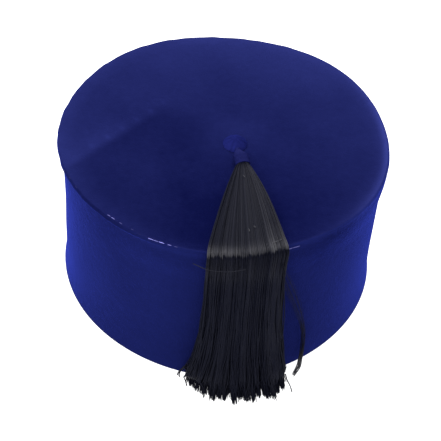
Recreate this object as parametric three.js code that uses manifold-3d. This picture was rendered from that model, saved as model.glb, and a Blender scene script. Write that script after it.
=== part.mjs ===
// A stiff velvet fez with a black tassel, standing on its rim.
// Millimetres, +Z up. The pieces are the hollow wall, the round top, the button, the binding and the tassel.
// Each piece is worked out round the crown's own axis, with the rim at height 0.
// At the end the hat is placed so that the origin is the middle of its box, on the surface it stands on.

import * as THREE from 'three';
import { mergeVertices } from 'three/addons/utils/BufferGeometryUtils.js';
import Module from 'manifold-3d';

const wasm = await Module();
wasm.setup();

// Driving dimensions of the crown
const GAP = 0.3; // clearance between neighbouring pieces
const ROUND_STEPS = 64; // facets round the crown
const WALL_TOP_RADIUS = 90.0; // outside of the plain wall, just under the top
const WALL_TAPER = 2.7; // how much wider the plain wall is at the rim
const HEM_FLARE = 2.7; // further spread of the hem at the rim
const FLARE_FADE = 14; // height in which that spread dies away
const EAVES_FLARE = 2.5; // how far the wall's upper end spreads under the top, in front and on the right
const EAVES_FROM = 70; // height at which that begins
const EAVES_TURN_DEG = -30; // middle of the stretch that spreads
const EAVES_FULL_DEG = 75; // it spreads fully this far to either side
const EAVES_NONE_DEG = 110; // and not at all from here on
const HEM_BULGE = 2.7; // how far the hem stands out in front, behind the tassel
const HEM_BULGE_TURN_DEG = -82; // middle of that bulge
const HEM_BULGE_HALF_WIDTH_DEG = 27;
const HEM_BULGE_FADE = 25; // height in which it dies away
const WALL_THICKNESS = 2.4;
const HEM_THICKNESS = 3.2; // the cloth is turned in at the rim
const HEM_HEIGHT = 12;
const HEM_BEVEL = 0.6;
const TOP_RADIUS = 92.7; // outside of the top's rolled edge
const TOP_HEIGHT = 97.1; // upper side of the rolled edge
const TOP_THICKNESS = 3.0;
const DISH_DEPTH = 2.0; // how far the middle of the top lies below its edge

// Rings of facets: heights on the wall and radii on the top
const WALL_RINGS = { outside: [6, 13, 25, 48, 71, 83], inside: [56, 23] };
const TOP_RINGS = { under: [0, 28, 56, 80], over: [83, 74, 64, 54, 44, 32, 18, 0] };
const EDGE_ROLL_STEPS = 6;

// The crown is a little out of round: each row is a swelling of so many lobes, the first lobe at an angle
const OUT_OF_ROUND = [
  { lobes: 5, swell: 0.6, atDeg: 50 },
  { lobes: 4, swell: 0.4, atDeg: 48 },
  { lobes: 2, swell: 0.2, atDeg: 50 },
  { lobes: 1, swell: 0.35, atDeg: 90 },
  { lobes: 3, swell: 0.25, atDeg: 25 },
];

// One long soft crease crosses the left of the top
const CREASE = { fromX: -79, fromY: -29, toX: -31, toY: 29, height: 0.8, halfWidth: 7, fade: 14 };

// The button, where the tassel is sewn on, lies a little off the middle of the top
const BUTTON = { x: 6.1, y: -8.46, radius: 6.8, height: 5.0 };
const BUTTON_FOOT_SHARE = 0.94; // radius of its flat foot, as a share of the radius
const BUTTON_WAIST_SHARE = 0.2; // height of its widest part, as a share of the height
const BUTTON_GATHERS = 8;
const BUTTON_GATHER_DEPTH = 0.25;
const BUTTON_STEPS = 24;
const BUTTON_DOME_STEPS = 6;

// The neck runs away from the button, wound with the binding
const NECK_TURN_DEG = -76.3;
const NECK_FLATTEN = 0.65; // height of the neck and binding as a share of their width
const NECK_RADIUS = 3.3;
const NECK_ROOT = 7.4; // distance of the neck's root from the button's middle
const BINDING_RADIUS = 4.3;
const BINDING_START = 9.5;
const BINDING_LENGTH = 11;
const BINDING_TURNS = 4;
const BINDING_GROOVE = 0.6; // wall left at the grooves between turns, as a share of the whole
const BINDING_SHOULDER = 0.3; // where a turn reaches its full radius, as a share of its width
const BINDING_STEPS = 16;

// The tassel falls over the edge at this angle, and its threads open out from the neck in a fan
const TASSEL_TURN_DEG = -80.6;
const FAN_START = 21.1; // distance of the fan's root from the button's middle
const FAN_ROOT_HALF_WIDTH = 2.9;
const FAN_BULGE = { left: 0.9, right: 2.4 }; // the fan's sides bow out by this much
const LAY_GAP = 0.4; // how far the threads lie from the velvet under them

// Sections of the fan: share of the way from the neck to the edge, and how thick the threads lie there
const FAN_SECTIONS = [
  { share: 0.0, thick: 4.9 },
  { share: 0.12, thick: 4.9 },
  { share: 0.35, thick: 4.7 },
  { share: 0.65, thick: 4.4 },
  { share: 0.95, thick: 4.0 },
];

// Sections of the fold: angle round the rolled edge from straight out, and thickness
const FOLD_SECTIONS = [
  { liftDeg: 50, thick: 4.0 },
  { liftDeg: 5, thick: 4.2 },
];
// Angles that the outer locks span to the left and right of the tassel's middle, seen from the crown's axis
const FOLD_SPAN = { leftDeg: 11.2, rightDeg: 11.7 };

// Sections of the hanging skirt: height, inner radius, thickness, angles spanned
const SKIRT_SECTIONS = [
  { height: 76, inner: 93.2, thick: 5.0, leftDeg: 11.4, rightDeg: 10.9 },
  { height: 52, inner: 93.8, thick: 6.2, leftDeg: 11.6, rightDeg: 11.2 },
  { height: 30, inner: 94.8, thick: 8.2, leftDeg: 12.8, rightDeg: 12.1 },
  { height: 13, inner: 96.4, thick: 12.0, leftDeg: 15.2, rightDeg: 13.2 },
];

// The ends splay on the surface: they reach furthest out at the middle of the outer layer
const END_SPAN = { leftDeg: 16.6, rightDeg: 14.0 };
const END_INNER_RADIUS = 100;
const END_OUTER_RADIUS = 116;
// The ends at the tassel's sides reach less: how much, and how late that sets in towards the side
const END_LOSS = { left: { most: 10.5, power: 2 }, right: { most: 11, power: 8 } };
const END_RAGGED = 1.0; // unevenness of the ends
const END_RAGGED_STEP = 2.4; // turn of the unevenness from one lock to the next, in radians
const FLOOR_GAP = 0.3;

// Layers of locks: depth 0 is next to the crown and 1 is outermost
const LOCK_LAYERS = [
  { depth: 0.1, count: 6, halfSpan: 0.9, halfWidth: 3.0, halfThick: 1.8 },
  { depth: 1.0, count: 10, halfSpan: 1.0, halfWidth: 2.4, halfThick: 1.5 },
];
const LOCK_SIDES = 6;
const LOCK_STEPS = 18;
const LOCK_ROOT_SHARE = 0.5; // a lock's width at the neck, as a share of its full width
const LOCK_OPEN_LENGTH = 0.35; // share of the length in which it opens to its full width
const LOCK_TIP_SHARE = 0.5; // a lock's width at its end, as a share of its full width
const LOCK_TIP_LENGTH = 0.05; // share of the length in which it narrows to the end

// The backing is one broad flat lock that the others are fused to
const BACKING = { depth: 0.5, sunk: 0.7, sides: 16, steps: 22, endRadius: 107, endThick: 7, endHeight: 4.5 };

// One thin lock has come loose on the right: angle, radius and height along it
const LOOSE_LOCK = [
  { turnDeg: -70.5, radius: 96.0, height: 92 },
  { turnDeg: -67.5, radius: 95.6, height: 82 },
  { turnDeg: -64.6, radius: 95.2, height: 70 },
  { turnDeg: -61.3, radius: 95.2, height: 48 },
  { turnDeg: -58.8, radius: 95.8, height: 30 },
  { turnDeg: -57.8, radius: 97.8, height: 14 },
  { turnDeg: -59.8, radius: 101.5, height: 4.5 },
  { turnDeg: -62.4, radius: 105.5, height: 1.7 },
];
const LOOSE_HALF_WIDTH = 1.2;
const LOOSE_SIDES = 6;
const LOOSE_STEPS = 18;
const WELD_DISTANCE = 1e-4;

// Materials
const VELVET_BLUE = new THREE.Color(0.016, 0.02, 0.125);
const BUTTON_BLUE = new THREE.Color(0.018, 0.022, 0.14);
const BINDING_GREY = new THREE.Color(0.014, 0.016, 0.035);
const THREAD_BLACK = new THREE.Color(0.01, 0.01, 0.012);
const cloth = (color) => new THREE.MeshStandardMaterial({ color, roughness: 0.85, metalness: 0 });

const radians = THREE.MathUtils.degToRad;
const { lerp, smoothstep } = THREE.MathUtils;
const EDGE_ROLL = TOP_THICKNESS / 2;
const EDGE_RING_RADIUS = TOP_RADIUS - EDGE_ROLL;
const EDGE_RING_HEIGHT = TOP_HEIGHT - EDGE_ROLL;

// How far the crown swells out of round at an angle in radians
function swell(turn) {
  const waves = OUT_OF_ROUND.map((row) => row.swell * Math.cos(row.lobes * (turn - radians(row.atDeg))));
  return waves.reduce((sum, wave) => sum + wave, 0);
}

// Outside radius of the wall: a straight taper and a hem that flares at the rim
function wallRadius(height) {
  const taper = WALL_TAPER * (1 - height / TOP_HEIGHT);
  return WALL_TOP_RADIUS + taper + HEM_FLARE * Math.exp(-height / FLARE_FADE);
}

// How far the wall's upper end spreads under the top's edge
function eaves(turn, height) {
  const rise = smoothstep(height, EAVES_FROM, EDGE_RING_HEIGHT);
  const aside = Math.acos(Math.cos(turn - radians(EAVES_TURN_DEG)));
  return EAVES_FLARE * rise * (1 - smoothstep(aside, radians(EAVES_FULL_DEG), radians(EAVES_NONE_DEG)));
}

// How far the hem stands out in front: a bell round the crown that dies away above the rim
function hemBulge(turn, height) {
  const aside = Math.acos(Math.cos(turn - radians(HEM_BULGE_TURN_DEG))) / radians(HEM_BULGE_HALF_WIDTH_DEG);
  return HEM_BULGE * Math.exp(-aside * aside - height / HEM_BULGE_FADE);
}

// Depth of the dish below the edge at a radius
function dish(radius) {
  const share = Math.min(radius / EDGE_RING_RADIUS, 1);
  return DISH_DEPTH * (1 - share * share);
}

// Height of the soft crease over the top at a point
function crease(x, y) {
  const from = new THREE.Vector2(CREASE.fromX, CREASE.fromY);
  const to = new THREE.Vector2(CREASE.toX, CREASE.toY);
  const along = to.clone().sub(from);
  const length = along.length();
  along.normalize();
  const offset = new THREE.Vector2(x, y).sub(from);
  const run = offset.dot(along);
  const aside = offset.cross(along) / CREASE.halfWidth;
  const rise = smoothstep(run, 0, CREASE.fade);
  const fall = smoothstep(length - run, 0, CREASE.fade);
  return CREASE.height * Math.exp(-aside * aside) * rise * fall;
}

// Height of the velvet of the top at a point
function topHeight(x, y) {
  return TOP_HEIGHT - dish(Math.hypot(x, y)) + crease(x, y);
}

// Moves every vertex of a geometry by a function of its place
function reshape(geometry, move) {
  const place = geometry.attributes.position;
  const point = new THREE.Vector3();
  for (let i = 0; i < place.count; i += 1) {
    point.fromBufferAttribute(place, i);
    move(point);
    place.setXYZ(i, point.x, point.y, point.z);
  }
  return geometry;
}

// Keeps only the corners of a geometry, each of them once
function weld(geometry) {
  geometry.deleteAttribute('normal');
  geometry.deleteAttribute('uv');
  return mergeVertices(geometry, WELD_DISTANCE);
}

// A ring or disc turned round the +Z axis from a profile of radii and heights
function turned(profile, steps = ROUND_STEPS) {
  const points = profile.map(({ radius, height }) => new THREE.Vector2(radius, height));
  return new THREE.LatheGeometry(points, steps).rotateX(Math.PI / 2);
}

// Swells a turned piece out of round, least near its middle and near the rim
function outOfRound(point) {
  const radius = Math.hypot(point.x, point.y);
  const share = Math.min(radius / TOP_RADIUS, 1) * Math.min(point.z / TOP_HEIGHT, 1);
  const grown = 1 + (share * swell(Math.atan2(point.y, point.x))) / Math.max(radius, 1);
  point.x *= grown;
  point.y *= grown;
}

// The hollow wall: up the outside, over the top end, down the inside and across the flat rim
function crownSide() {
  const wallHeight = TOP_HEIGHT - TOP_THICKNESS - dish(WALL_TOP_RADIUS - WALL_THICKNESS) - GAP;
  const outside = [HEM_BEVEL, ...WALL_RINGS.outside, wallHeight];
  const inside = [wallHeight, ...WALL_RINGS.inside, HEM_HEIGHT, HEM_BEVEL];
  const thickness = (height) => lerp(HEM_THICKNESS, WALL_THICKNESS, smoothstep(height, 0, HEM_HEIGHT));
  const profile = [
    { radius: wallRadius(0) - HEM_BEVEL, height: 0 },
    ...outside.map((height) => ({ radius: wallRadius(height), height })),
    ...inside.map((height) => ({ radius: wallRadius(height) - thickness(height), height })),
    { radius: wallRadius(0) - HEM_THICKNESS + HEM_BEVEL, height: 0 },
  ];
  profile.push(profile[0]);
  return reshape(turned(profile), (point) => {
    outOfRound(point);
    const turn = Math.atan2(point.y, point.x);
    const spread = eaves(turn, point.z) + hemBulge(turn, point.z);
    point.x += spread * Math.cos(turn);
    point.y += spread * Math.sin(turn);
  });
}

// The round top: a dished sheet whose edge is rolled over
function crownTop() {
  const roll = Array.from({ length: EDGE_ROLL_STEPS + 1 }, (_, step) => {
    const lift = lerp(-Math.PI / 2, Math.PI / 2, step / EDGE_ROLL_STEPS);
    return {
      radius: EDGE_RING_RADIUS + EDGE_ROLL * Math.cos(lift),
      height: EDGE_RING_HEIGHT + EDGE_ROLL * Math.sin(lift),
    };
  });
  const profile = [
    ...TOP_RINGS.under.map((radius) => ({ radius, height: TOP_HEIGHT - TOP_THICKNESS - dish(radius) })),
    ...roll,
    ...TOP_RINGS.over.map((radius) => ({ radius, height: TOP_HEIGHT - dish(radius) })),
  ];
  return reshape(turned(profile), (point) => {
    point.z += crease(point.x, point.y);
    outOfRound(point);
  });
}

// The button: a low dome of velvet drawn together underneath, with shallow gathers round its side
function crownButton() {
  const dome = Array.from({ length: BUTTON_DOME_STEPS }, (_, step) => {
    const lift = (Math.PI / 2) * (step / BUTTON_DOME_STEPS);
    const height = BUTTON.height * lerp(BUTTON_WAIST_SHARE, 1, Math.sin(lift));
    return { radius: BUTTON.radius * Math.cos(lift), height };
  });
  const profile = [
    { radius: 0, height: 0 },
    { radius: BUTTON.radius * BUTTON_FOOT_SHARE, height: 0 },
    ...dome,
    { radius: 0, height: BUTTON.height },
  ];
  const geometry = turned(profile, BUTTON_STEPS);
  reshape(geometry, (point) => {
    const radius = Math.hypot(point.x, point.y);
    const share = radius / BUTTON.radius;
    const gather = BUTTON_GATHER_DEPTH * share * Math.cos(BUTTON_GATHERS * Math.atan2(point.y, point.x));
    const grown = 1 + gather / Math.max(radius, 1);
    point.x *= grown;
    point.y *= grown;
  });
  const farSide = 1 + BUTTON.radius / Math.hypot(BUTTON.x, BUTTON.y);
  const seat = topHeight(BUTTON.x * farSide, BUTTON.y * farSide) + GAP;
  return geometry.translate(BUTTON.x, BUTTON.y, seat);
}

// The neck's line: a point at a distance from the button's middle, at the height of the neck's axis
const NECK_WAY = new THREE.Vector3(Math.cos(radians(NECK_TURN_DEG)), Math.sin(radians(NECK_TURN_DEG)), 0);
const BINDING_END = BINDING_START + BINDING_LENGTH;
function neckPlan(distance) {
  return new THREE.Vector2(BUTTON.x + NECK_WAY.x * distance, BUTTON.y + NECK_WAY.y * distance);
}
const NECK_FOOT = neckPlan(BINDING_END);
const NECK_HEIGHT = topHeight(NECK_FOOT.x, NECK_FOOT.y) + GAP + BINDING_RADIUS * NECK_FLATTEN;
function neckPoint(distance) {
  const plan = neckPlan(distance);
  return new THREE.Vector3(plan.x, plan.y, NECK_HEIGHT);
}

// Lays a geometry built round the +Z axis along the neck, from a distance on, and flattens it
function alongNeck(geometry, distance) {
  const upright = new THREE.Vector3(0, 0, 1);
  geometry.applyQuaternion(new THREE.Quaternion().setFromUnitVectors(upright, NECK_WAY));
  geometry.scale(1, 1, NECK_FLATTEN);
  const start = neckPoint(distance);
  return geometry.translate(start.x, start.y, start.z);
}

// The binding: a sleeve of round turns of cord with a smooth bore for the neck
function tasselBinding() {
  const pitch = BINDING_LENGTH / BINDING_TURNS;
  const bore = NECK_RADIUS + GAP / NECK_FLATTEN;
  const groove = lerp(bore, BINDING_RADIUS, BINDING_GROOVE);
  const profile = [{ radius: bore, height: 0 }, { radius: groove, height: 0 }];
  for (let turn = 0; turn < BINDING_TURNS; turn += 1) {
    const base = turn * pitch;
    profile.push({ radius: BINDING_RADIUS, height: base + pitch * BINDING_SHOULDER });
    profile.push({ radius: BINDING_RADIUS, height: base + pitch * (1 - BINDING_SHOULDER) });
    profile.push({ radius: groove, height: base + pitch });
  }
  profile.push({ radius: bore, height: BINDING_LENGTH });
  profile.push(profile[0]);
  return alongNeck(turned(profile, BINDING_STEPS), BINDING_START);
}

// A closed solid from a welded geometry, and the other way round
function toSolid(geometry) {
  const welded = weld(geometry);
  const vertProperties = Float32Array.from(welded.attributes.position.array);
  const triVerts = Uint32Array.from(welded.index.array);
  return new wasm.Manifold(new wasm.Mesh({ numProp: 3, vertProperties, triVerts }));
}
function toGeometry(solid) {
  const mesh = solid.getMesh();
  const geometry = new THREE.BufferGeometry();
  geometry.setAttribute('position', new THREE.BufferAttribute(Float32Array.from(mesh.vertProperties), 3));
  geometry.setIndex(new THREE.BufferAttribute(Uint32Array.from(mesh.triVerts), 1));
  geometry.computeVertexNormals();
  return geometry;
}

// A lock: a drum bent along a path, with its own half width and half thickness at each share of its length
function lockSolid(path, across, halfWidth, halfThick, sides, steps) {
  const drum = new THREE.CylinderGeometry(1, 1, 1, sides, steps);
  const tangent = new THREE.Vector3();
  const inward = new THREE.Vector3();
  const centre = new THREE.Vector3();
  reshape(drum, (point) => {
    const share = point.y + 0.5;
    path.getPoint(share, centre);
    path.getTangent(share, tangent);
    inward.crossVectors(across, tangent).normalize();
    const wide = point.x * halfWidth(share);
    const deep = point.z * halfThick(share);
    point.copy(centre).addScaledVector(across, wide).addScaledVector(inward, deep);
  });
  return toSolid(drum);
}

// Radius of the middle line of the top's rolled edge at an angle, with the crown's swelling
function edgeRing(turn) {
  return EDGE_RING_RADIUS + swell(turn);
}

// A point at an angle, a radius and a height
function polar(turn, radius, height) {
  return new THREE.Vector3(Math.cos(turn) * radius, Math.sin(turn) * radius, height);
}

// Angle of a place across the tassel, -1 left to 1 right, where it spans so many degrees to either side
function turnAt(side, { leftDeg, rightDeg }) {
  return radians(TASSEL_TURN_DEG + side * (side < 0 ? leftDeg : rightDeg));
}

// The line of threads that lie at a place across the tassel and at a depth of it
// clear is the room that the lock's own half thickness takes below the line
function threadLine(side, depth, clear, end) {
  const layer = (thick) => clear + depth * (thick - 2 * clear);
  const foldTurn = turnAt(side, FOLD_SPAN);
  const bulge = side < 0 ? FAN_BULGE.left : FAN_BULGE.right;
  const root = neckPoint(FAN_START);
  root.x -= NECK_WAY.y * side * FAN_ROOT_HALF_WIDTH;
  root.y += NECK_WAY.x * side * FAN_ROOT_HALF_WIDTH;
  const edge = polar(foldTurn, edgeRing(foldTurn), 0);
  const sideways = new THREE.Vector3(-Math.sin(foldTurn), Math.cos(foldTurn), 0);
  const points = FAN_SECTIONS.map(({ share, thick }) => {
    const point = root.clone().lerp(edge, share);
    point.addScaledVector(sideways, side * bulge * Math.sin(Math.PI * Math.sqrt(share)));
    point.z = topHeight(point.x, point.y) + LAY_GAP + layer(thick);
    return point;
  });
  FOLD_SECTIONS.forEach(({ liftDeg, thick }) => {
    const lift = radians(liftDeg);
    const reach = EDGE_ROLL + LAY_GAP + layer(thick);
    const radius = edgeRing(foldTurn) + reach * Math.cos(lift);
    points.push(polar(foldTurn, radius, EDGE_RING_HEIGHT + reach * Math.sin(lift)));
  });
  SKIRT_SECTIONS.forEach((section) => {
    points.push(polar(turnAt(side, section), section.inner + layer(section.thick), section.height));
  });
  points.push(polar(turnAt(side, END_SPAN), end.radius, end.height));
  return new THREE.CatmullRomCurve3(points, false, 'centripetal');
}

// Direction across the tassel at a place from its left to its right side
function acrossAt(side) {
  const turn = turnAt(side, FOLD_SPAN);
  return new THREE.Vector3(-Math.sin(turn), Math.cos(turn), 0);
}

// Width of a lock along its length: gathered at the neck and narrow at its end
function lockTaper(share) {
  const opened = lerp(LOCK_ROOT_SHARE, 1, smoothstep(share, 0, LOCK_OPEN_LENGTH));
  const tip = lerp(LOCK_TIP_SHARE, 1, smoothstep(1 - share, 0, LOCK_TIP_LENGTH));
  return opened * tip;
}

// One layer of locks side by side, with ragged ends that splay on the surface
function lockLayer({ depth, count, halfSpan, halfWidth, halfThick }) {
  return Array.from({ length: count }, (_, index) => {
    const side = halfSpan * ((2 * index) / (count - 1) - 1);
    const ragged = END_RAGGED * Math.sin(END_RAGGED_STEP * index + depth);
    const { most, power } = side < 0 ? END_LOSS.left : END_LOSS.right;
    const sideLoss = most * depth * Math.abs(side) ** power;
    const reach = lerp(END_INNER_RADIUS, END_OUTER_RADIUS, depth) - sideLoss;
    const tipThick = halfThick * LOCK_TIP_SHARE;
    const end = { height: FLOOR_GAP + tipThick, radius: reach + ragged };
    const path = threadLine(side, depth, halfThick, end);
    const wide = (share) => halfWidth * lockTaper(share);
    const deep = (share) => halfThick * lockTaper(share);
    return lockSolid(path, acrossAt(side), wide, deep, LOCK_SIDES, LOCK_STEPS);
  });
}

// The backing: one broad flat lock down the middle of the tassel, sunk a little inside the outer locks
function backingSolid() {
  const { depth, sunk, sides, steps, endRadius, endThick, endHeight } = BACKING;
  const clear = LOCK_LAYERS[0].halfThick;
  const end = { height: endHeight, radius: endRadius };
  const [path, left, right] = [0, -1, 1].map((side) => threadLine(side, depth, clear, end));
  const sections = [...FAN_SECTIONS, ...FOLD_SECTIONS, ...SKIRT_SECTIONS, { thick: endThick }];
  const thicks = sections.map(({ thick }) => thick);
  const halfWidth = (share) => left.getPoint(share).distanceTo(right.getPoint(share)) / 2;
  const halfThick = (share) => {
    const place = share * (thicks.length - 1);
    const row = Math.min(Math.floor(place), thicks.length - 2);
    return lerp(thicks[row], thicks[row + 1], place - row) / 2 - sunk;
  };
  return lockSolid(path, acrossAt(0), halfWidth, halfThick, sides, steps);
}

// The lock that has come loose
function looseLock() {
  const points = LOOSE_LOCK.map(({ turnDeg, radius, height }) => polar(radians(turnDeg), radius, height));
  const path = new THREE.CatmullRomCurve3(points, false, 'centripetal');
  const half = () => LOOSE_HALF_WIDTH;
  return lockSolid(path, acrossAt(1), half, half, LOOSE_SIDES, LOOSE_STEPS);
}

// The neck: the gathered threads between the button and the fan, inside the binding
function neckSolid() {
  const length = FAN_START + NECK_RADIUS - NECK_ROOT;
  const plug = new THREE.CylinderGeometry(NECK_RADIUS, NECK_RADIUS, length, BINDING_STEPS);
  plug.rotateX(Math.PI / 2).translate(0, 0, length / 2);
  return toSolid(alongNeck(plug, NECK_ROOT));
}

// The tassel: every lock fused to the backing and the neck
function tassel() {
  const locks = [...LOCK_LAYERS.flatMap(lockLayer), looseLock()];
  const fused = [backingSolid(), ...locks].reduce((whole, lock) => whole.add(lock), neckSolid());
  return toGeometry(fused);
}

// A named piece of the hat
function piece(name, geometry, color) {
  const mesh = new THREE.Mesh(geometry, cloth(color));
  mesh.name = name;
  return mesh;
}

const hat = new THREE.Group();
hat.add(piece('crown_side', crownSide(), VELVET_BLUE));
hat.add(piece('crown_top', crownTop(), VELVET_BLUE));
hat.add(piece('crown_button', crownButton(), BUTTON_BLUE));
hat.add(piece('tassel_binding', tasselBinding(), BINDING_GREY));
hat.add(piece('tassel', tassel(), THREAD_BLACK));

// The origin is the middle of the hat's box, at the height of the rim
const middle = new THREE.Box3().setFromObject(hat, true).getCenter(new THREE.Vector3());
hat.position.set(-middle.x, -middle.y, 0);

const fez = new THREE.Group();
fez.add(hat);
export default fez;
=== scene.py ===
# %% [markdown]
# # A velvet fez with a black tassel
#
# The real hat is a stiff round cap: a band of board and cloth makes the wall, a round board makes the top,
# and dark blue velvet covers both. A small velvet button on the top holds a tassel of black silky thread.
# The solid model already has the true sizes, so this lesson only dresses it. Its solids are plain, so each
# is replaced here by a finer surface that is worked out with numpy and lies where the solid lies.

# %% Load the imported model, and a helper for a part's box
import math

import bpy
import numpy as np
from mathutils import Matrix, Vector


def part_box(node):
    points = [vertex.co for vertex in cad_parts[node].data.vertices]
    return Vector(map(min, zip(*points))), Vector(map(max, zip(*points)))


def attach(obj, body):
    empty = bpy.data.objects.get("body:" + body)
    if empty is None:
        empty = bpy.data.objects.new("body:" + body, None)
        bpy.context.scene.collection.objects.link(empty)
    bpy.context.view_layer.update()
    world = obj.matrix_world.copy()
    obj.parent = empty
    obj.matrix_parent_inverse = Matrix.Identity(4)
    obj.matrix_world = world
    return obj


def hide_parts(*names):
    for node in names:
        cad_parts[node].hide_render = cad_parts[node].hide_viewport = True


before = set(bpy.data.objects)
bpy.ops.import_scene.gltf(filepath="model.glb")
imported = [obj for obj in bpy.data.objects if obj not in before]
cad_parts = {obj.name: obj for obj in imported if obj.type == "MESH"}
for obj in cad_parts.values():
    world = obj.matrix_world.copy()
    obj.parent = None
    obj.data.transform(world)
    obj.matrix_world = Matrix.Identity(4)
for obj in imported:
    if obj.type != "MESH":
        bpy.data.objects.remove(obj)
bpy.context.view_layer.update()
MM = 0.001
print("nodes:", sorted(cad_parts))

# %% [markdown]
# ## Where the crown stands
#
# The tassel reaches out at the front, so the middle of the whole hat isn't the middle of the crown.
# The rim is round, apart from its front, where the hem is pressed out behind the tassel. So the axis lies
# half way from side to side, and one radius in front of the rim's back. Shapes are worked out round that
# axis, with the rim at height 0, and are moved onto it when they become a mesh.

# %% Find the crown's axis
wall_low, wall_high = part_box("crown_side")
RIM_RADIUS = (wall_high.x - wall_low.x) / 2
CROWN_AXIS = np.array([(wall_low.x + wall_high.x) / 2, wall_high.y - RIM_RADIUS, 0.0])
print("crown's axis, mm:", CROWN_AXIS / MM, "rim radius, mm:", RIM_RADIUS / MM)

# %% [markdown]
# ## The camera
#
# A camera was fitted to the outlines of the top and the rim in the photograph. It stands in front of the
# tassel, about as high above the table as it is far in front of the crown, and it is rolled by a few
# degrees, as a camera in the hand is. Turning about the upright axis, then tipping, then rolling gives the
# three angles one meaning each.

# %% Place the camera
PHOTO_SIDE = 441
FOCAL_LENGTH_IN_PIXELS = 900
SENSOR_WIDTH = 36
CAMERA_DISTANCE = 387.1 * MM
CAMERA_HEIGHT = 422.1 * MM
CAMERA_TURN = math.radians(-0.15)
CAMERA_TIP = math.radians(44.294)
CAMERA_ROLL = math.radians(3.948)

camera_data = bpy.data.cameras.new("camera")
camera_data.sensor_width = SENSOR_WIDTH
camera_data.lens = SENSOR_WIDTH * FOCAL_LENGTH_IN_PIXELS / PHOTO_SIDE
camera = bpy.data.objects.new("camera", camera_data)
bpy.context.scene.collection.objects.link(camera)
camera_place = Vector((CROWN_AXIS[0], CROWN_AXIS[1] - CAMERA_DISTANCE, CAMERA_HEIGHT))
camera.matrix_world = (
    Matrix.Translation(camera_place)
    @ Matrix.Rotation(CAMERA_TURN, 4, "Z")
    @ Matrix.Rotation(CAMERA_TIP, 4, "X")
    @ Matrix.Rotation(CAMERA_ROLL, 4, "Z")
)
bpy.context.scene.camera = camera
print("lens, mm:", round(camera_data.lens, 2))

# %% [markdown]
# ## Node helpers
#
# A material is a small graph of nodes. These helpers add a node with its settings and name the steps that
# come back in several finishes, so that each finish below reads as a short list of steps.

# %% Helpers for node graphs
# The Mix node has sockets of the same names for each of its types, so the colour ones are taken by number
MIX_FIRST, MIX_SECOND, MIX_RESULT = 6, 7, 2


def add_node(tree, kind, **settings):
    """Adds a node of a kind; a setting named after a socket fills that socket, any other sets a property."""
    node = tree.nodes.new(kind)
    for name, value in settings.items():
        socket = name.replace("_", " ").title()
        if socket in node.inputs:
            node.inputs[socket].default_value = value
        else:
            setattr(node, name, value)
    return node


def new_finish(name, sockets):
    """Makes a material with one Principled shader, sets sockets of that shader, and returns the material,
    its tree and the shader."""
    finish = bpy.data.materials.new(name)
    finish.use_nodes = True
    tree = finish.node_tree
    shader = tree.nodes["Principled BSDF"]
    for socket, value in sockets.items():
        shader.inputs[socket].default_value = value
    return finish, tree, shader


def own_place(tree):
    """A point's place in the piece's own coordinates, in metres."""
    return add_node(tree, "ShaderNodeTexCoord").outputs["Object"]


def value_of(tree, name):
    """The number that the points of a piece store under a name."""
    return add_node(tree, "ShaderNodeAttribute", attribute_name=name).outputs["Fac"]


def sum_of(tree, first, second, weight):
    """Adds a second value, times a weight, to a first one."""
    total = add_node(tree, "ShaderNodeMath", operation="MULTIPLY_ADD")
    tree.links.new(second, total.inputs[0])
    total.inputs[1].default_value = weight
    tree.links.new(first, total.inputs[2])
    return total.outputs[0]


def range_of(tree, value, source, target):
    """Carries a value from a source range to a target range, and holds it at the target's ends."""
    carry = add_node(tree, "ShaderNodeMapRange", from_min=source[0], from_max=source[1],
                     to_min=target[0], to_max=target[1])
    tree.links.new(value, carry.inputs["Value"])
    return carry.outputs[0]


def blend_of(tree, share, first, second):
    """Goes from a first colour to a second as the share goes from 0 to 1."""
    mix = add_node(tree, "ShaderNodeMix", data_type="RGBA")
    tree.links.new(share, mix.inputs["Factor"])
    mix.inputs[MIX_FIRST].default_value = (*first, 1)
    mix.inputs[MIX_SECOND].default_value = (*second, 1)
    return mix.outputs[MIX_RESULT]


def noise_on(tree, place, size, detail, roughness=0.5):
    """Cloudy noise from 0 to 1 whose patches are about a given size in metres."""
    noise = add_node(tree, "ShaderNodeTexNoise", scale=1 / size, detail=detail, roughness=roughness)
    tree.links.new(place, noise.inputs["Vector"])
    return noise.outputs["Fac"]


def bump_from(tree, height, depth):
    """Tilts the shading by a height from 0 to 1 that stands for a depth in metres."""
    bump = add_node(tree, "ShaderNodeBump", strength=1.0, distance=depth)
    tree.links.new(height, bump.inputs["Height"])
    return bump.outputs["Normal"]


# %% [markdown]
# ## Floor and light
#
# The hat stands on a plain white surface, and hardly any shadow shows. Velvet and silk say most about the
# light: the threads shine grey where they lie flat on the top and stay black where they hang, so most of
# the light comes from above and a little from behind. A large soft panel does that, with a second, weaker
# one on the left and a dim even sky for the rest.

# %% Make the floor and the lights
WHITE = (1, 1, 1, 1)
FLOOR_SIDE = 6.0
FLOOR_GREY = (0.55, 0.55, 0.55, 1)
FLOOR_GLOW = 1.05
SKY_STRENGTH = 0.95
PANEL_PLACE = Vector((-0.15, 0.75, 1.15))
PANEL_SIDE = 1.1
PANEL_POWER = 20
FILL_PLACE = Vector((-0.9, -0.5, 0.9))
FILL_SIDE = 0.9
FILL_POWER = 6

floor_mesh = bpy.data.meshes.new("floor")
half_floor = FLOOR_SIDE / 2
floor_signs = [(-1, -1), (1, -1), (1, 1), (-1, 1)]
floor_corners = [(half_floor * across, half_floor * up, 0) for across, up in floor_signs]
floor_mesh.from_pydata(floor_corners, [], [(0, 1, 2, 3)])
floor = bpy.data.objects.new("floor", floor_mesh)
bpy.context.scene.collection.objects.link(floor)
paper = {"Base Color": FLOOR_GREY, "Roughness": 0.9, "Specular IOR Level": 0.1,
         "Emission Color": WHITE, "Emission Strength": FLOOR_GLOW}
floor_mesh.materials.append(new_finish("white_paper", paper)[0])


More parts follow.
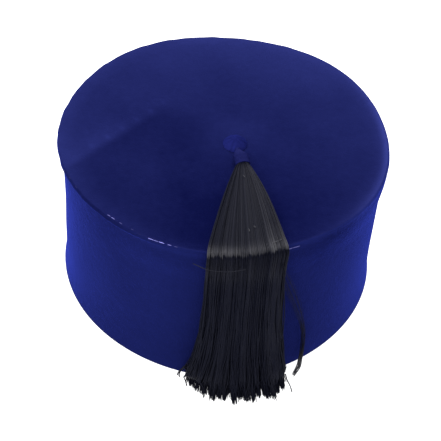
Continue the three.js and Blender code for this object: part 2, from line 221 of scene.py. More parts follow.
def soft_panel(name, place, side, power):
    """Hangs a square panel of light at a place, turned towards the middle of the crown."""
    light = bpy.data.lights.new(name, "AREA")
    light.size = side
    light.energy = power
    panel = bpy.data.objects.new(name, light)
    panel.location = place
    towards = Vector(CROWN_AXIS) - place
    panel.rotation_mode = "QUATERNION"
    panel.rotation_quaternion = towards.to_track_quat("-Z", "Y")
    bpy.context.scene.collection.objects.link(panel)


soft_panel("light_above", PANEL_PLACE, PANEL_SIDE, PANEL_POWER)
soft_panel("light_left", FILL_PLACE, FILL_SIDE, FILL_POWER)
sky = bpy.data.worlds.new("sky")
sky.use_nodes = True
sky_shader = sky.node_tree.nodes["Background"]
sky_shader.inputs["Color"].default_value = WHITE
sky_shader.inputs["Strength"].default_value = SKY_STRENGTH
bpy.context.scene.world = sky
bpy.context.scene.view_settings.view_transform = "Standard"
print("floor and", len(bpy.data.lights), "lights")

# %% [markdown]
# ## From arrays to meshes
#
# Every piece below is an array of points. A turned piece is a grid with one row for each ring and one
# column for each step round the axis. A thread is a path with a small ring of points at each step. Faces
# only join neighbours in the grid, so their corner numbers come from array arithmetic, and no point is
# visited one by one.


# %% Helpers that put arrays into meshes
def new_piece(name, points, face_groups, finishes, node=None):
    """Makes a smooth mesh of points round the crown's axis and of groups of faces, riding on the hat."""
    mesh = bpy.data.meshes.new(name)
    corners = np.concatenate([group.ravel() for group in face_groups])
    sizes = np.concatenate([np.full(len(group), group.shape[1]) for group in face_groups])
    mesh.vertices.add(len(points))
    mesh.vertices.foreach_set("co", (points + CROWN_AXIS).astype(np.float32).ravel())
    mesh.loops.add(len(corners))
    mesh.loops.foreach_set("vertex_index", corners.astype(np.int32))
    mesh.polygons.add(len(sizes))
    mesh.polygons.foreach_set("loop_start", (np.cumsum(sizes) - sizes).astype(np.int32))
    mesh.polygons.foreach_set("use_smooth", np.ones(len(sizes), bool))
    mesh.update(calc_edges=True)
    mesh.validate()
    for finish in finishes:
        mesh.materials.append(finish)
    piece = bpy.data.objects.new(name, mesh)
    bpy.context.scene.collection.objects.link(piece)
    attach(piece, "root")
    if node:
        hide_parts(node)
    print(f"{name}: {len(points)} points, {np.sum(sizes - 2)} triangles")
    return piece


def give_values(piece, name, values):
    """Stores one number for each point of a piece, for its finish to read."""
    layer = piece.data.attributes.new(name, "FLOAT", "POINT")
    layer.data.foreach_set("value", values.astype(np.float32).ravel())


def ring_faces(rows, columns, closed):
    """Four-sided faces between neighbours of a grid. Its last column meets the first, and if it is closed
    its last row meets the first too."""
    row, column = np.meshgrid(np.arange(rows if closed else rows - 1), np.arange(columns), indexing="ij")
    next_row, next_column = (row + 1) % rows, (column + 1) % columns
    corners = [row * columns + column, row * columns + next_column,
               next_row * columns + next_column, next_row * columns + column]
    return np.stack(corners, -1).reshape(-1, 4)


def pole_faces(rows, columns):
    """Three-sided faces that close a grid's first and last row at two poles, which follow its points."""
    column = np.arange(columns)
    next_column = (column + 1) % columns
    last_row = (rows - 1) * columns
    first_pole = np.full(columns, rows * columns)
    first = np.stack([first_pole, next_column, column], -1)
    last = np.stack([last_row + column, last_row + next_column, first_pole + 1], -1)
    return np.concatenate([first, last])


# %% [markdown]
# ## Small curves
#
# Soft shapes and soft changes of tone are all sums and products of a few small curves: a smooth step, a
# rise that is followed by a fall, a bell, and waves that run round the crown or over its top.


# %% Helpers for curves
def polar(turn, radius, height):
    """Points at angles round the crown's axis, radii and heights."""
    return np.stack(np.broadcast_arrays(np.cos(turn) * radius, np.sin(turn) * radius, height), -1)


def ease(value, low, high):
    """Goes smoothly from 0 at the low value to 1 at the high one: three squares less two cubes."""
    share = np.clip((value - low) / (high - low), 0, 1)
    return share * share * (3 - 2 * share)


def between(value, rise, fall):
    """Goes up from 0 to 1 over one range and down again over a later one: the product of two steps."""
    return ease(value, *rise) * (1 - ease(value, *fall))


def bell(distance, reach):
    """Falls from 1 at no distance to a good third at the reach: e to the minus square of their ratio."""
    return np.exp(-((distance / reach) ** 2))


def apart(turn, middle):
    """Angle between two directions, from nothing to half a turn."""
    return np.arccos(np.clip(np.cos(turn - middle), -1, 1))


def waves(rows, turn, height=0.0):
    """Waves round the crown: a sum of sines, each with a number of waves, a size, a phase, and a slant in
    radians for each metre of height."""
    return sum(size * np.sin(count * turn + phase + slant * height) for count, size, phase, slant in rows)


def ripple(x, y, across, up, phase):
    """A wave over the top: the sine of so many radians for each metre across and up, plus a phase."""
    return np.sin(across * x + up * y + phase)


# %% [markdown]
# ## The crown's own shape
#
# These are the same few sizes that the solids have. The wall tapers and then flares at the hem, the top is
# dished, and hand work has left both a little out of round. The hem stands out in front, behind the tassel,
# and one soft crease crosses the left of the top. The wall's upper end spreads under the top's edge in
# front and on the right, so that there the two are nearly flush.

# %% Shape of the crown
WALL_TOP_RADIUS = 90.0 * MM
WALL_TAPER = 2.7 * MM
WALL_THICKNESS = 2.4 * MM
HEM_FLARE = 2.7 * MM
FLARE_FADE = 14 * MM
HEM_THICKNESS = 3.2 * MM
HEM_HEIGHT = 12 * MM
HEM_BULGE = 2.7 * MM
HEM_BULGE_TURN = math.radians(-82)
HEM_BULGE_HALF_WIDTH = math.radians(27)
HEM_BULGE_FADE = 25 * MM
EAVES_TUCK = 0.05 * MM
EAVES_FROM = 70 * MM
EAVES_TURN = math.radians(-30)
EAVES_FULL = math.radians(75)
EAVES_NONE = math.radians(110)
SIDE_SWELLS = [  # angle, height, swelling, half width and half height of each bell
    (math.radians(-12), 58 * MM, 0.7 * MM, math.radians(28), 45 * MM),
    (math.radians(-168), 33 * MM, 0.7 * MM, math.radians(25), 18 * MM),
]
TOP_RADIUS = 92.7 * MM
TOP_HEIGHT = 97.1 * MM
TOP_THICKNESS = 3.0 * MM
DISH_DEPTH = 2.0 * MM
PIECE_GAP = 0.3 * MM
EDGE_ROLL = TOP_THICKNESS / 2
EDGE_RING_RADIUS = TOP_RADIUS - EDGE_ROLL
EDGE_RING_HEIGHT = TOP_HEIGHT - EDGE_ROLL
OUT_OF_ROUND = [  # lobes, swelling, angle of the first lobe
    (5, 0.6 * MM, math.radians(50)),
    (4, 0.4 * MM, math.radians(48)),
    (2, 0.2 * MM, math.radians(50)),
    (1, 0.35 * MM, math.radians(90)),
    (3, 0.25 * MM, math.radians(25)),
]
EDGE_WAVES = [  # number of waves, size, phase, slant
    (23, 0.025 * MM, 0.6, 0),
    (37, 0.020 * MM, 2.1, 0),
    (61, 0.015 * MM, 0, 0),
]
EDGE_WAVES_ON_LEFT = 4
CREASE_FROM = np.array([-79, -29]) * MM
CREASE_TO = np.array([-31, 29]) * MM
CREASE_HEIGHT = 0.8 * MM
CREASE_HALF_WIDTH = 7 * MM
CREASE_FADE = 14 * MM
CREASE_LENGTH = np.hypot(*(CREASE_TO - CREASE_FROM))
CREASE_WAY = (CREASE_TO - CREASE_FROM) / CREASE_LENGTH


def swell(turn):
    """How far the crown stands out of round at an angle: a sum of cosine lobes."""
    return sum(size * np.cos(lobes * (turn - first)) for lobes, size, first in OUT_OF_ROUND)


def out_of_round(turn, radius, height):
    """Radius with the crown's swelling, which fades towards the axis and towards the rim."""
    share = np.minimum(radius / TOP_RADIUS, 1) * np.clip(height / TOP_HEIGHT, 0, 1)
    return radius + share * swell(turn)


def wall_radius(height):
    """Outside radius of the wall: a straight taper plus a flare that dies away above the rim."""
    tapered = WALL_TOP_RADIUS + WALL_TAPER * (1 - height / TOP_HEIGHT)
    return tapered + HEM_FLARE * np.exp(-height / FLARE_FADE)


def hem_bulge(turn, height):
    """How far the hem stands out in front: a bell round the crown that dies away above the rim."""
    around_front = bell(apart(turn, HEM_BULGE_TURN), HEM_BULGE_HALF_WIDTH)
    return HEM_BULGE * around_front * np.exp(-height / HEM_BULGE_FADE)


def side_swells(turn, height):
    """How far the wall bellies at its two sides: a sum of bells, round the crown and up it."""
    return sum(size * bell(apart(turn, middle), wide) * bell(height - level, tall)
               for middle, level, size, wide, tall in SIDE_SWELLS)


def dish(radius):
    """Depth of the top below its edge: a parabola with its lowest point on the axis."""
    return DISH_DEPTH * (1 - np.minimum(radius / EDGE_RING_RADIUS, 1) ** 2)


def eaves_share(turn):
    """Where the wall spreads under the top's edge: 1 in front and on the right, 0 on the left and behind."""
    return 1 - ease(apart(turn, EAVES_TURN), EAVES_FULL, EAVES_NONE)


def edge_relief(turn, shift=0.0):
    """Small swellings along the rolled edge: waves of unlike lengths, stronger on the left and behind."""
    stronger = 1 + (EDGE_WAVES_ON_LEFT - 1) * (1 - eaves_share(turn))
    return stronger * waves(EDGE_WAVES, turn + shift)


wall_top = TOP_HEIGHT - TOP_THICKNESS - dish(WALL_TOP_RADIUS - WALL_THICKNESS) - PIECE_GAP


def eaves(turn, height):
    """How far the wall's upper end spreads, where it does: a smooth rise that ends flush with the roll."""
    roll = out_of_round(turn, TOP_RADIUS, EDGE_RING_HEIGHT) + edge_relief(turn)
    plain = out_of_round(turn, wall_radius(wall_top), wall_top) + side_swells(turn, wall_top)
    return (roll - EAVES_TUCK - plain) * ease(height, EAVES_FROM, wall_top) * eaves_share(turn)


def crease_frame(x, y):
    """Place along the crease, place aside from it to its upper left, and a share that fades at its ends."""
    from_x, from_y = x - CREASE_FROM[0], y - CREASE_FROM[1]
    run = from_x * CREASE_WAY[0] + from_y * CREASE_WAY[1]
    aside = from_y * CREASE_WAY[0] - from_x * CREASE_WAY[1]
    ends = ease(run, 0, CREASE_FADE) * ease(CREASE_LENGTH - run, 0, CREASE_FADE)
    return run, aside, ends


def top_height(x, y):
    """Height of the velvet of the top: the edge, less the dish, plus a bell-shaped ridge on the crease."""
    aside, ends = crease_frame(x, y)[1:]
    return TOP_HEIGHT - dish(np.hypot(x, y)) + CREASE_HEIGHT * bell(aside, CREASE_HALF_WIDTH) * ends


print("radius at the rim and under the top, mm:", wall_radius(np.array([0, wall_top])) / MM)

# %% [markdown]
# ## Velvet
#
# Velvet is cloth with a short upright pile. Seen end on the pile swallows light and looks almost black;
# seen across its tips it lights up, which is why the sides of the crown glow. That glow is the shader's
# sheen, tinted blue. The pile also lies in slightly different directions from stroking, so broad soft
# patches differ in tone. Each piece stores its own patches in an attribute, and with them painted light and
# shade: lighter where more light or sheen would fall, darker where shade would fall. The attribute runs from
# about -1 for dark to about 3 for light, and noise adds the small ones. Close up the pile is a fine grain,
# so a bump finer than a millimetre breaks up the surface.

# %% The velvet finish
CLOUD_SIZE = 26 * MM
CLOUD_TONE = 0.7
MOTTLE_SIZE = 4 * MM
MOTTLE_TONE = 0.45
MOTTLE_RELIEF = 0.8
PILE_SIZE = 0.7 * MM
PILE_TONE = 0.35
PILE_BROKEN = 0.6
PILE_ROUGHNESS = (0.95, 0.72)
TONE_RANGE = (-0.25, 3.75)
GRAIN_DEPTH = 0.35 * MM
SHEEN_ROUGHNESS = 0.3


def velvet(name, deep, lit, tint, glow):
    """Dark pile that goes from a deep to a lit blue with the lie of its pile and with painted light and
    shade, under a tinted sheen and a fine grain.
    """
    sheen = {"Specular IOR Level": 0.0, "Sheen Weight": glow, "Sheen Roughness": SHEEN_ROUGHNESS,
             "Sheen Tint": (*tint, 1)}
    finish, tree, shader = new_finish(name, sheen)
    place = own_place(tree)
    clouds = noise_on(tree, place, CLOUD_SIZE, detail=3)
    mottle = noise_on(tree, place, MOTTLE_SIZE, detail=3)
    pile = noise_on(tree, place, PILE_SIZE, detail=2, roughness=PILE_BROKEN)
    tone = value_of(tree, "nap_and_painted_light")
    for noise, weight in ((clouds, CLOUD_TONE), (mottle, MOTTLE_TONE), (pile, PILE_TONE)):
        tone = sum_of(tree, tone, noise, weight)
    blue = blend_of(tree, range_of(tree, tone, TONE_RANGE, (0, 1)), deep, lit)
    tree.links.new(blue, shader.inputs["Base Color"])
    tree.links.new(range_of(tree, pile, (0, 1), PILE_ROUGHNESS), shader.inputs["Roughness"])
    relief = sum_of(tree, pile, mottle, MOTTLE_RELIEF)
    tree.links.new(bump_from(tree, relief, GRAIN_DEPTH), shader.inputs["Normal"])
    return finish


SIDE_TINT = (0.075, 0.12, 1.0)
TOP_TINT = (0.18, 0.23, 1.0)
side_velvet = velvet("velvet_side", deep=(0.0036, 0.0051, 0.037), lit=(0.0154, 0.0229, 0.161),
                     tint=SIDE_TINT, glow=0.54)
top_velvet = velvet("velvet_top", deep=(0.0022, 0.0032, 0.031), lit=(0.0218, 0.0284, 0.153),
                    tint=TOP_TINT, glow=0.31)
button_velvet = velvet("velvet_button", deep=(0.0022, 0.0032, 0.031), lit=(0.0168, 0.0218, 0.165),
                       tint=SIDE_TINT, glow=0.14)
print("velvets:", side_velvet.name, top_velvet.name, button_velvet.name)

# %% [markdown]
# ## The plain cloth inside
#
# The photograph doesn't show the inside, so it gets what lies under the velvet of such a hat: a plain dark
# cotton backing. Its weave follows the surface, so it is drawn in a UV map whose unit is a metre: threads
# one way are a row of bands, threads the other way are another, and the higher of the two is what is seen.

# %% The backing finish and a UV map in metres
BACKING_THREAD = 0.7 * MM
BANDS_AT_SCALE_ONE = 10 / math.pi
WEAVE_UNEVEN = 0.6
WEAVE_UNEVEN_SCALE = 3
WEAVE_TONE = 0.5
WEAVE_DEPTH = 0.2 * MM
SLUB_SIZE = 9 * MM


def backing_cloth(name, dark, light):
    """Plain weave: two crossed rows of soft bands, one thread wide, with the higher of the two on top."""
    finish, tree, shader = new_finish(name, {"Roughness": 0.9, "Specular IOR Level": 0.15})
    place = add_node(tree, "ShaderNodeUVMap", uv_map="cloth").outputs["UV"]
    higher = add_node(tree, "ShaderNodeMath", operation="MAXIMUM")
    for number, direction in enumerate(("X", "Y")):
        band = add_node(tree, "ShaderNodeTexWave", bands_direction=direction, distortion=WEAVE_UNEVEN,
                        scale=1 / BACKING_THREAD / BANDS_AT_SCALE_ONE, detail_scale=WEAVE_UNEVEN_SCALE)
        tree.links.new(place, band.inputs["Vector"])
        tree.links.new(band.outputs["Fac"], higher.inputs[number])
    weave = higher.outputs[0]
    slubs = noise_on(tree, place, SLUB_SIZE, detail=4)
    tone = sum_of(tree, slubs, weave, WEAVE_TONE)
    tree.links.new(blend_of(tree, tone, dark, light), shader.inputs["Base Color"])
    tree.links.new(bump_from(tree, weave, WEAVE_DEPTH), shader.inputs["Normal"])
    return finish


def lay_cloth(piece, rows, columns, closed, across, along):
    """UV map of a grid: the place round each ring and the place along the profile, both in metres."""
    row, column = np.meshgrid(np.arange(rows if closed else rows - 1), np.arange(columns), indexing="ij")
    next_row = (row + 1) % rows
    u = np.stack([column, column + 1, column + 1, column], -1) * across / columns
    v = np.stack([along[row], along[row], along[next_row], along[next_row]], -1)
    places = np.stack([u, v], -1).reshape(-1, 2)
    spare = len(piece.data.loops) - len(places)
    places = np.concatenate([places, np.zeros((spare, 2))])
    layer = piece.data.uv_layers.new(name="cloth")
    layer.data.foreach_set("uv", places.astype(np.float32).ravel())


def along_profile(profile):
    """Distance of each point of a profile from its first: the running sum of its steps."""
    return np.cumsum(np.hypot(*np.diff(profile, axis=0, prepend=profile[:1]).T))


inside_cloth = backing_cloth("backing_cloth", dark=(0.006, 0.007, 0.012), light=(0.022, 0.024, 0.034))
print("backing:", inside_cloth.name)

# %% [markdown]
# ## The wall
#
# The wall is turned: one profile goes up the outside, over the top end, down the inside and across the
# rim, where the cloth is turned in, and it is carried round the axis. It is a closed grid, so the wall has
# its real thickness. Shallow dents, deepest about the middle of the height, keep it from looking like a
# machined drum, and a shallow groove at the back is the seam where the velvet band meets itself.

# %% Profile and unevenness of the wall
ROUND_STEPS = 360
OUTSIDE_STEPS = 56
INSIDE_STEPS = 24
HEM_ROLL = 1.0 * MM
HEM_ROLL_STEPS = 6
LIP_WIDTH = 0.6 * MM
LIP_RISE = 1.9 * MM
LIP_RISE_HEIGHT = 4 * MM
LIP_ROWS = np.array([0.8, 0.5, 0.25, 0]) * MM
DENT_WAVES = [  # number of waves, size, phase, slant
    (3, 0.175 * MM, 1.1, 0),
    (7, 0.1225 * MM, 0.4, 14),
    (12, 0.07 * MM, 2.2, 0),
]
SEAM_TURN = math.radians(96)
SEAM_DEPTH = 0.55 * MM
SEAM_HALF_WIDTH = 0.9 * MM
SEAM_SWELL = 0.25 * MM
SEAM_SWELL_HALF_WIDTH = 4 * MM


def hem_thickness(height):
    """Thickness of the wall: the hem's at the rim, easing into the plain wall's above it."""
    return HEM_THICKNESS + (WALL_THICKNESS - HEM_THICKNESS) * ease(height, 0, HEM_HEIGHT)


def wall_profile():
    """Radii and heights of the closed profile, and which of its points lie on the outside."""
    quarter = np.linspace(0, math.pi / 2, HEM_ROLL_STEPS)
    rolled_in, rolled_up = HEM_ROLL * (1 - np.sin(quarter)), HEM_ROLL * (1 - np.cos(quarter))
    even = np.linspace(HEM_ROLL, wall_top - LIP_ROWS[0], OUTSIDE_STEPS - len(LIP_ROWS), endpoint=False)
    up = np.concatenate([even, wall_top - LIP_ROWS])
    down = np.linspace(wall_top, HEM_ROLL, INSIDE_STEPS)
    outer_roll = np.stack([wall_radius(0) - rolled_in, rolled_up], -1)
    inner_roll = np.stack([wall_radius(0) - HEM_THICKNESS + rolled_up, rolled_in], -1)
    outside = np.stack([wall_radius(up), up], -1)
    inside = np.stack([wall_radius(down) - hem_thickness(down), down], -1)
    lip = [[wall_radius(wall_top) - LIP_WIDTH, wall_top]]
    profile = np.concatenate([outer_roll[:-1], outside, lip, inside, inner_roll[1:]])
    outer = np.arange(len(profile)) < HEM_ROLL_STEPS - 1 + OUTSIDE_STEPS
    return profile, outer


def dents(turn, height):
    """Unevenness of the wall: slow waves round it, strongest at half height and none at the two ends."""
    return np.sin(math.pi * np.clip(height / wall_top, 0, 1)) * waves(DENT_WAVES, turn, height)


def back_seam(turn, height):
    """Outline of the seam: a narrow groove in a low swelling, both bell-shaped, that fades at the hem."""
    aside = (turn - SEAM_TURN) * WALL_TOP_RADIUS
    groove = SEAM_DEPTH * bell(aside, SEAM_HALF_WIDTH)
    swelling = SEAM_SWELL * bell(aside, SEAM_SWELL_HALF_WIDTH)
    return (swelling - groove) * ease(height, 0, HEM_HEIGHT)


profile, outer = wall_profile()
wall_rows = len(profile)
print("rings of the wall:", wall_rows)

# %% Make the wall
TURNED_IN = 12 * MM

around = np.arange(ROUND_STEPS) * (2 * math.pi / ROUND_STEPS)
turn, radius = np.meshgrid(around, profile[:, 0])
height = np.broadcast_to(profile[:, 1:2], turn.shape)
radius = out_of_round(turn, radius, height) + eaves(turn, height)
radius = radius + hem_bulge(turn, height) + side_swells(turn, height)
radius = radius + np.where(outer[:, None], dents(turn, height) + back_seam(turn, height), 0)
lip_rise = LIP_RISE * eaves_share(turn) * ease(height, wall_top - LIP_RISE_HEIGHT, wall_top)
wall_points = polar(turn, radius, height + np.where(outer[:, None], lip_rise, 0))
wall = new_piece("wall_velvet", wall_points.reshape(-1, 3), [ring_faces(wall_rows, ROUND_STEPS, True)],
                 [side_velvet, inside_cloth], "crown_side")
lay_cloth(wall, wall_rows, ROUND_STEPS, True, 2 * math.pi * WALL_TOP_RADIUS, along_profile(profile))
row_middle = (profile[:, 1] + np.roll(profile[:, 1], -1)) / 2
is_backing = np.repeat(~outer & (row_middle > TURNED_IN), ROUND_STEPS)
wall.data.polygons.foreach_set("material_index", is_backing.astype(np.int32))

# %% Nap, painted light and painted shade of the wall
NAP_BANDS = [  # number of bands round the wall, lightness, phase, slant
    (2, 0.175, 0.7, 0),
    (5, 0.1225, 1.9, 10),
    (9, 0.07, 0, 0),
]
# Painted light on the wall's right side and painted sheen at its left edge
PAINTED_LIGHT_ON_RIGHT_SIDE = 0.4
PAINTED_SHEEN_ON_LEFT_SIDE = 0.3
SHEEN_ON_LEFT_POWER = 6
# Painted light along the hem, where it flares up towards the light, strongest on the right
HEM_PAINTED_LIGHT = 0.2
HEM_PAINTED_LIGHT_ON_RIGHT = 1.2
HEM_LIGHT_TURN = -0.4
HEM_LIGHT_FADE = 5 * MM
# Painted shade in a band below the top's edge
PAINTED_SHADE_UNDER_EDGE = 0.3
UNDER_EDGE_RISE = (74 * MM, 88 * MM)
UNDER_EDGE_FALL = (90.5 * MM, 92.8 * MM)
# Painted light on the wall's lip under the top's edge, most on the right
LIP_PAINTED_LIGHT = 0.3
LIP_PAINTED_LIGHT_ON_RIGHT = 0.7
LIP_LIGHT_FROM = 90.5 * MM
LIP_RIGHT_RISE = np.radians([-50, -35])
LIP_RIGHT_FALL = np.radians([40, 80])
# Patches of painted shade below the top's edge
PAINTED_SHADE_PATCHES = [  # middle, half width, darkness
    (math.radians(-50), math.radians(11), 0.8),
    (math.radians(-131), math.radians(11), 0.5),
    (math.radians(-20), math.radians(12), 0.5),
]
PAINTED_SHADE_RISE = (66 * MM, 81 * MM)


def painted_shade_patches(turn):
    """Painted shade under the top's edge: a sum of bells round the crown."""
    return sum(size * bell(apart(turn, middle), wide) for middle, wide, size in PAINTED_SHADE_PATCHES)


def nap_and_light_of_wall(turn, height):
    """Tone of the wall, pile and painted light together: upright bands of lighter and darker pile, painted
    light on the two sides, a painted light line along the hem, strongest on the right, painted shade below
    the top's edge in a stretch and in patches, and a lip painted lighter, most of all on the right."""
    turn = np.angle(np.exp(1j * turn))
    right, left = np.maximum(np.cos(turn), 0), np.maximum(-np.cos(turn), 0)
    # sides is painted light: lighter towards the right and at the left edge
    sides = PAINTED_LIGHT_ON_RIGHT_SIDE * right + PAINTED_SHEEN_ON_LEFT_SIDE * left**SHEEN_ON_LEFT_POWER
    # hem is a painted light line along the hem
    hem = HEM_PAINTED_LIGHT + HEM_PAINTED_LIGHT_ON_RIGHT * np.maximum(np.cos(turn - HEM_LIGHT_TURN), 0) ** 2
    hem = hem * np.exp(-height / HEM_LIGHT_FADE)
    # lip is painted light on the wall's upper end
    lip = LIP_PAINTED_LIGHT + LIP_PAINTED_LIGHT_ON_RIGHT * between(turn, LIP_RIGHT_RISE, LIP_RIGHT_FALL)
    lip = lip * ease(height, LIP_LIGHT_FROM, wall_top)
    under_edge_shade = PAINTED_SHADE_UNDER_EDGE * between(height, UNDER_EDGE_RISE, UNDER_EDGE_FALL)
    # dark is painted shade below the top's edge
    dark = painted_shade_patches(turn) * ease(height, *PAINTED_SHADE_RISE)
    return waves(NAP_BANDS, turn, height) + sides + hem + (lip - under_edge_shade) * eaves_share(turn) - dark


wall_nap_and_light = nap_and_light_of_wall(turn, height)
give_values(wall, "nap_and_painted_light", wall_nap_and_light)
print("nap of the wall, darkest and lightest:", wall_nap_and_light.min().round(2), wall_nap_and_light.max().round(2))

# %% [markdown]
# ## The top
#
# The top is turned in the same way, from the middle of its underside, out and round the rolled edge, and
# back to the middle above. Its two ends are single points, so the rings beside them are closed with
# triangles. The velvet is drawn over the edge by hand, which leaves small swellings along the roll, and it
# puckers a little round the button.

# %% Profile and unevenness of the top
TOP_UNDER_STEPS = 16
ROLL_STEPS = 14
CREST_STEPS = 3
TOP_OVER_STEPS = 84
INNERMOST_RING = 0.8 * MM
BUTTON_X = 6.1 * MM
BUTTON_Y = -8.46 * MM
PUCKER_DEPTH = 0.22 * MM
PUCKER_REACH = 9 * MM
PUCKER_FROM = 4 * MM
PUCKERS = 9
SLOW_WAVES = [  # depth, then radians for each metre across and up, and the phase, of two crossed waves
    (0.22 * MM, (52, 31, 0), (37, -58, 0.8)),
    (0.11 * MM, (95, 0, 40), (0, 83, 1.3)),
]
FLAT_AT_EDGE = 8 * MM
ROLL_RELIEF_REACH = 4 * MM
ROLL_HEIGHT_SHIFT = 1.0


def top_profile():
    """Radii and heights from the underside's middle, round the edge's half circle, to the middle above."""
    under = np.linspace(INNERMOST_RING, EDGE_RING_RADIUS, TOP_UNDER_STEPS, endpoint=False)
    lift = np.linspace(-math.pi / 2, math.pi / 2, ROLL_STEPS)
    over = np.linspace(EDGE_RING_RADIUS, INNERMOST_RING, TOP_OVER_STEPS + 1)[1:]
    below = np.stack([under, TOP_HEIGHT - TOP_THICKNESS - dish(under)], -1)
    middle = np.array([EDGE_RING_RADIUS, EDGE_RING_HEIGHT])
    roll = middle + EDGE_ROLL * np.stack([np.cos(lift), np.sin(lift)], -1)
    above = np.stack([over, TOP_HEIGHT - dish(over)], -1)
    return np.concatenate([below, roll, above])


def top_relief(x, y):
    """Unevenness of the velvet above: slow crossed waves over the top, and puckers round the button."""
    slow = sum(depth * ripple(x, y, *first) * ripple(x, y, *second) for depth, first, second in SLOW_WAVES)
    reach = np.hypot(x - BUTTON_X, y - BUTTON_Y)
    bearing = np.arctan2(y - BUTTON_Y, x - BUTTON_X)
    puckers = np.cos(PUCKERS * bearing) * bell(reach, PUCKER_REACH) * ease(reach, 0, PUCKER_FROM)
    return slow + PUCKER_DEPTH * puckers


top_outline = top_profile()
top_rows = len(top_outline)
print("rings of the top:", top_rows)

# %% Make the top
ON_TOP, INSIDE, ON_ROLL = 0, 1, 2

turn, radius = np.meshgrid(around, top_outline[:, 0])
height = np.broadcast_to(top_outline[:, 1:2], turn.shape)
x, y = radius * np.cos(turn), radius * np.sin(turn)
ridge = top_height(x, y) - (TOP_HEIGHT - dish(radius))
upper = (np.arange(top_rows) >= TOP_UNDER_STEPS + ROLL_STEPS)[:, None]
inner_share = ease(EDGE_RING_RADIUS - radius, 0, FLAT_AT_EDGE)
on_roll = np.clip(1 - np.abs(radius - TOP_RADIUS) / ROLL_RELIEF_REACH, 0, 1)
radius = out_of_round(turn, radius, height) + edge_relief(turn) * on_roll
relief = top_relief(radius * np.cos(turn), radius * np.sin(turn))
height = height + ridge + np.where(upper, inner_share * relief, 0)
height = height + edge_relief(turn, ROLL_HEIGHT_SHIFT) * on_roll
poles = np.array([[0, 0, TOP_HEIGHT - TOP_THICKNESS - DISH_DEPTH], [0, 0, height[-1].mean()]])
top_points = np.concatenate([polar(turn, radius, height).reshape(-1, 3), poles])
top_faces = [ring_faces(top_rows, ROUND_STEPS, False), pole_faces(top_rows, ROUND_STEPS)]
top = new_piece("top_velvet", top_points, top_faces, [top_velvet, inside_cloth, side_velvet],
                "crown_top")
lay_cloth(top, top_rows, ROUND_STEPS, False, 2 * math.pi * EDGE_RING_RADIUS, along_profile(top_outline))
row_finish = np.full(top_rows - 1, ON_TOP)
row_finish[:TOP_UNDER_STEPS] = INSIDE
row_finish[TOP_UNDER_STEPS:TOP_UNDER_STEPS + ROLL_STEPS - CREST_STEPS] = ON_ROLL
face_finish = np.repeat(np.concatenate([row_finish, [INSIDE, ON_TOP]]), ROUND_STEPS)
top.data.polygons.foreach_set("material_index", face_finish.astype(np.int32))

# %% [markdown]
# ## Nap and painted light of the top
#
# The top is lighter towards the back, the sides and the edge, lighter to the left of the crease and darker
# to its right, as the photograph shows. The lighter back, sides and edge are painted sheen, and a darker
# patch at the front left is painted shade. Over the edge the tone has to become the wall's wherever the two
# are flush.
# So the tone is a sum of three parts, each a function of the place on the top, and a blend with the wall's
# own tone down the roll.

# %% Broad changes of the nap, with painted sheen
NAP_MIDDLE = -0.6
# Painted sheen: the top is lighter towards the back and the two sides
SHEEN_TOWARDS_BACK = 0.45
PAINTED_SHEEN_AT_BACK = 1.1
SHEEN_AT_BACK_POWER = 3
PAINTED_SHEEN_LEFT_SIDE = 0.7
PAINTED_SHEEN_RIGHT_SIDE = 0.9
NAP_FRONT_LEFT = 1.0
NAP_PATCHES = [  # middle across and up, reach and lightness of each patch, the first one round the button
    (BUTTON_X, BUTTON_Y + 9 * MM, 18 * MM, 0.55),
    (-32 * MM, 34 * MM, 28 * MM, 0.47),
    (45 * MM, 58 * MM, 34 * MM, 0.55),
]
BRUSHED = [  # lightness, then radians for each metre across and up, and the phase
    (0.10, (46, 21, 0.4)),
    (0.08, (28, -63, 0)),
]


def broad_nap_and_sheen(x, y):
    """Slow changes: lighter towards the back and the sides, which is painted sheen, and lighter towards the
    front left, in patches, and in waves.
    """
    back, right = y / TOP_RADIUS, x / TOP_RADIUS
    nap_and_painted_light = NAP_MIDDLE + SHEEN_TOWARDS_BACK * back + PAINTED_SHEEN_AT_BACK * np.maximum(back, 0) ** SHEEN_AT_BACK_POWER
    nap_and_painted_light = nap_and_painted_light + np.where(x < 0, PAINTED_SHEEN_LEFT_SIDE, PAINTED_SHEEN_RIGHT_SIDE) * right**2
    nap_and_painted_light = nap_and_painted_light + NAP_FRONT_LEFT * np.maximum(-right, 0) * np.maximum(-back, 0)
    patches = [size * bell(np.hypot(x - middle_x, y - middle_y), reach)
               for middle_x, middle_y, reach, size in NAP_PATCHES]
    return nap_and_painted_light + sum(patches) + sum(size * ripple(x, y, *way) for size, way in BRUSHED)


# %% Painted sheen and shade towards the edge, and the tone at the crease
# Painted sheen towards the edge, painted shade at the front left, and painted sheen along the rim on the
# right
PAINTED_EDGE_SHEEN = 0.6
EDGE_SHEEN_FROM = 80 * MM
EDGE_SHEEN_IN_FRONT = 0.6
FRONT_RIGHT = (math.radians(-56), math.radians(16))
FRONT_RIGHT_LOSS = 0.9
FRONT_LEFT = (math.radians(-140), math.radians(17))
FRONT_LEFT_LOSS = 0.5
PAINTED_SHADE_FRONT_LEFT = 0.4
SHADE_FRONT_LEFT_RISE = (55 * MM, 80 * MM)
PAINTED_RIM_SHEEN = 3.0
RIM_SHEEN_FROM = 86 * MM
RIM_SHEEN_WIDTH = 5.2 * MM
RIM_SHEEN_TURN = math.radians(-2)
RIM_SHEEN_POWER = 6
LIGHTER_LEFT_OF_CREASE = 0.85
CREASE_STEP_RISE = (-6.5 * MM, -0.5 * MM)
CREASE_STEP_FADE = 13 * MM
CREASE_STEP_END = (-6 * MM, 62 * MM)
CREASE_FLECKS = 0.5
FLECK_PITCH = 11 * MM
FLECK_PHASE = 1
FLECK_POWER = 3
FLECK_HALF_WIDTH = 2 * MM


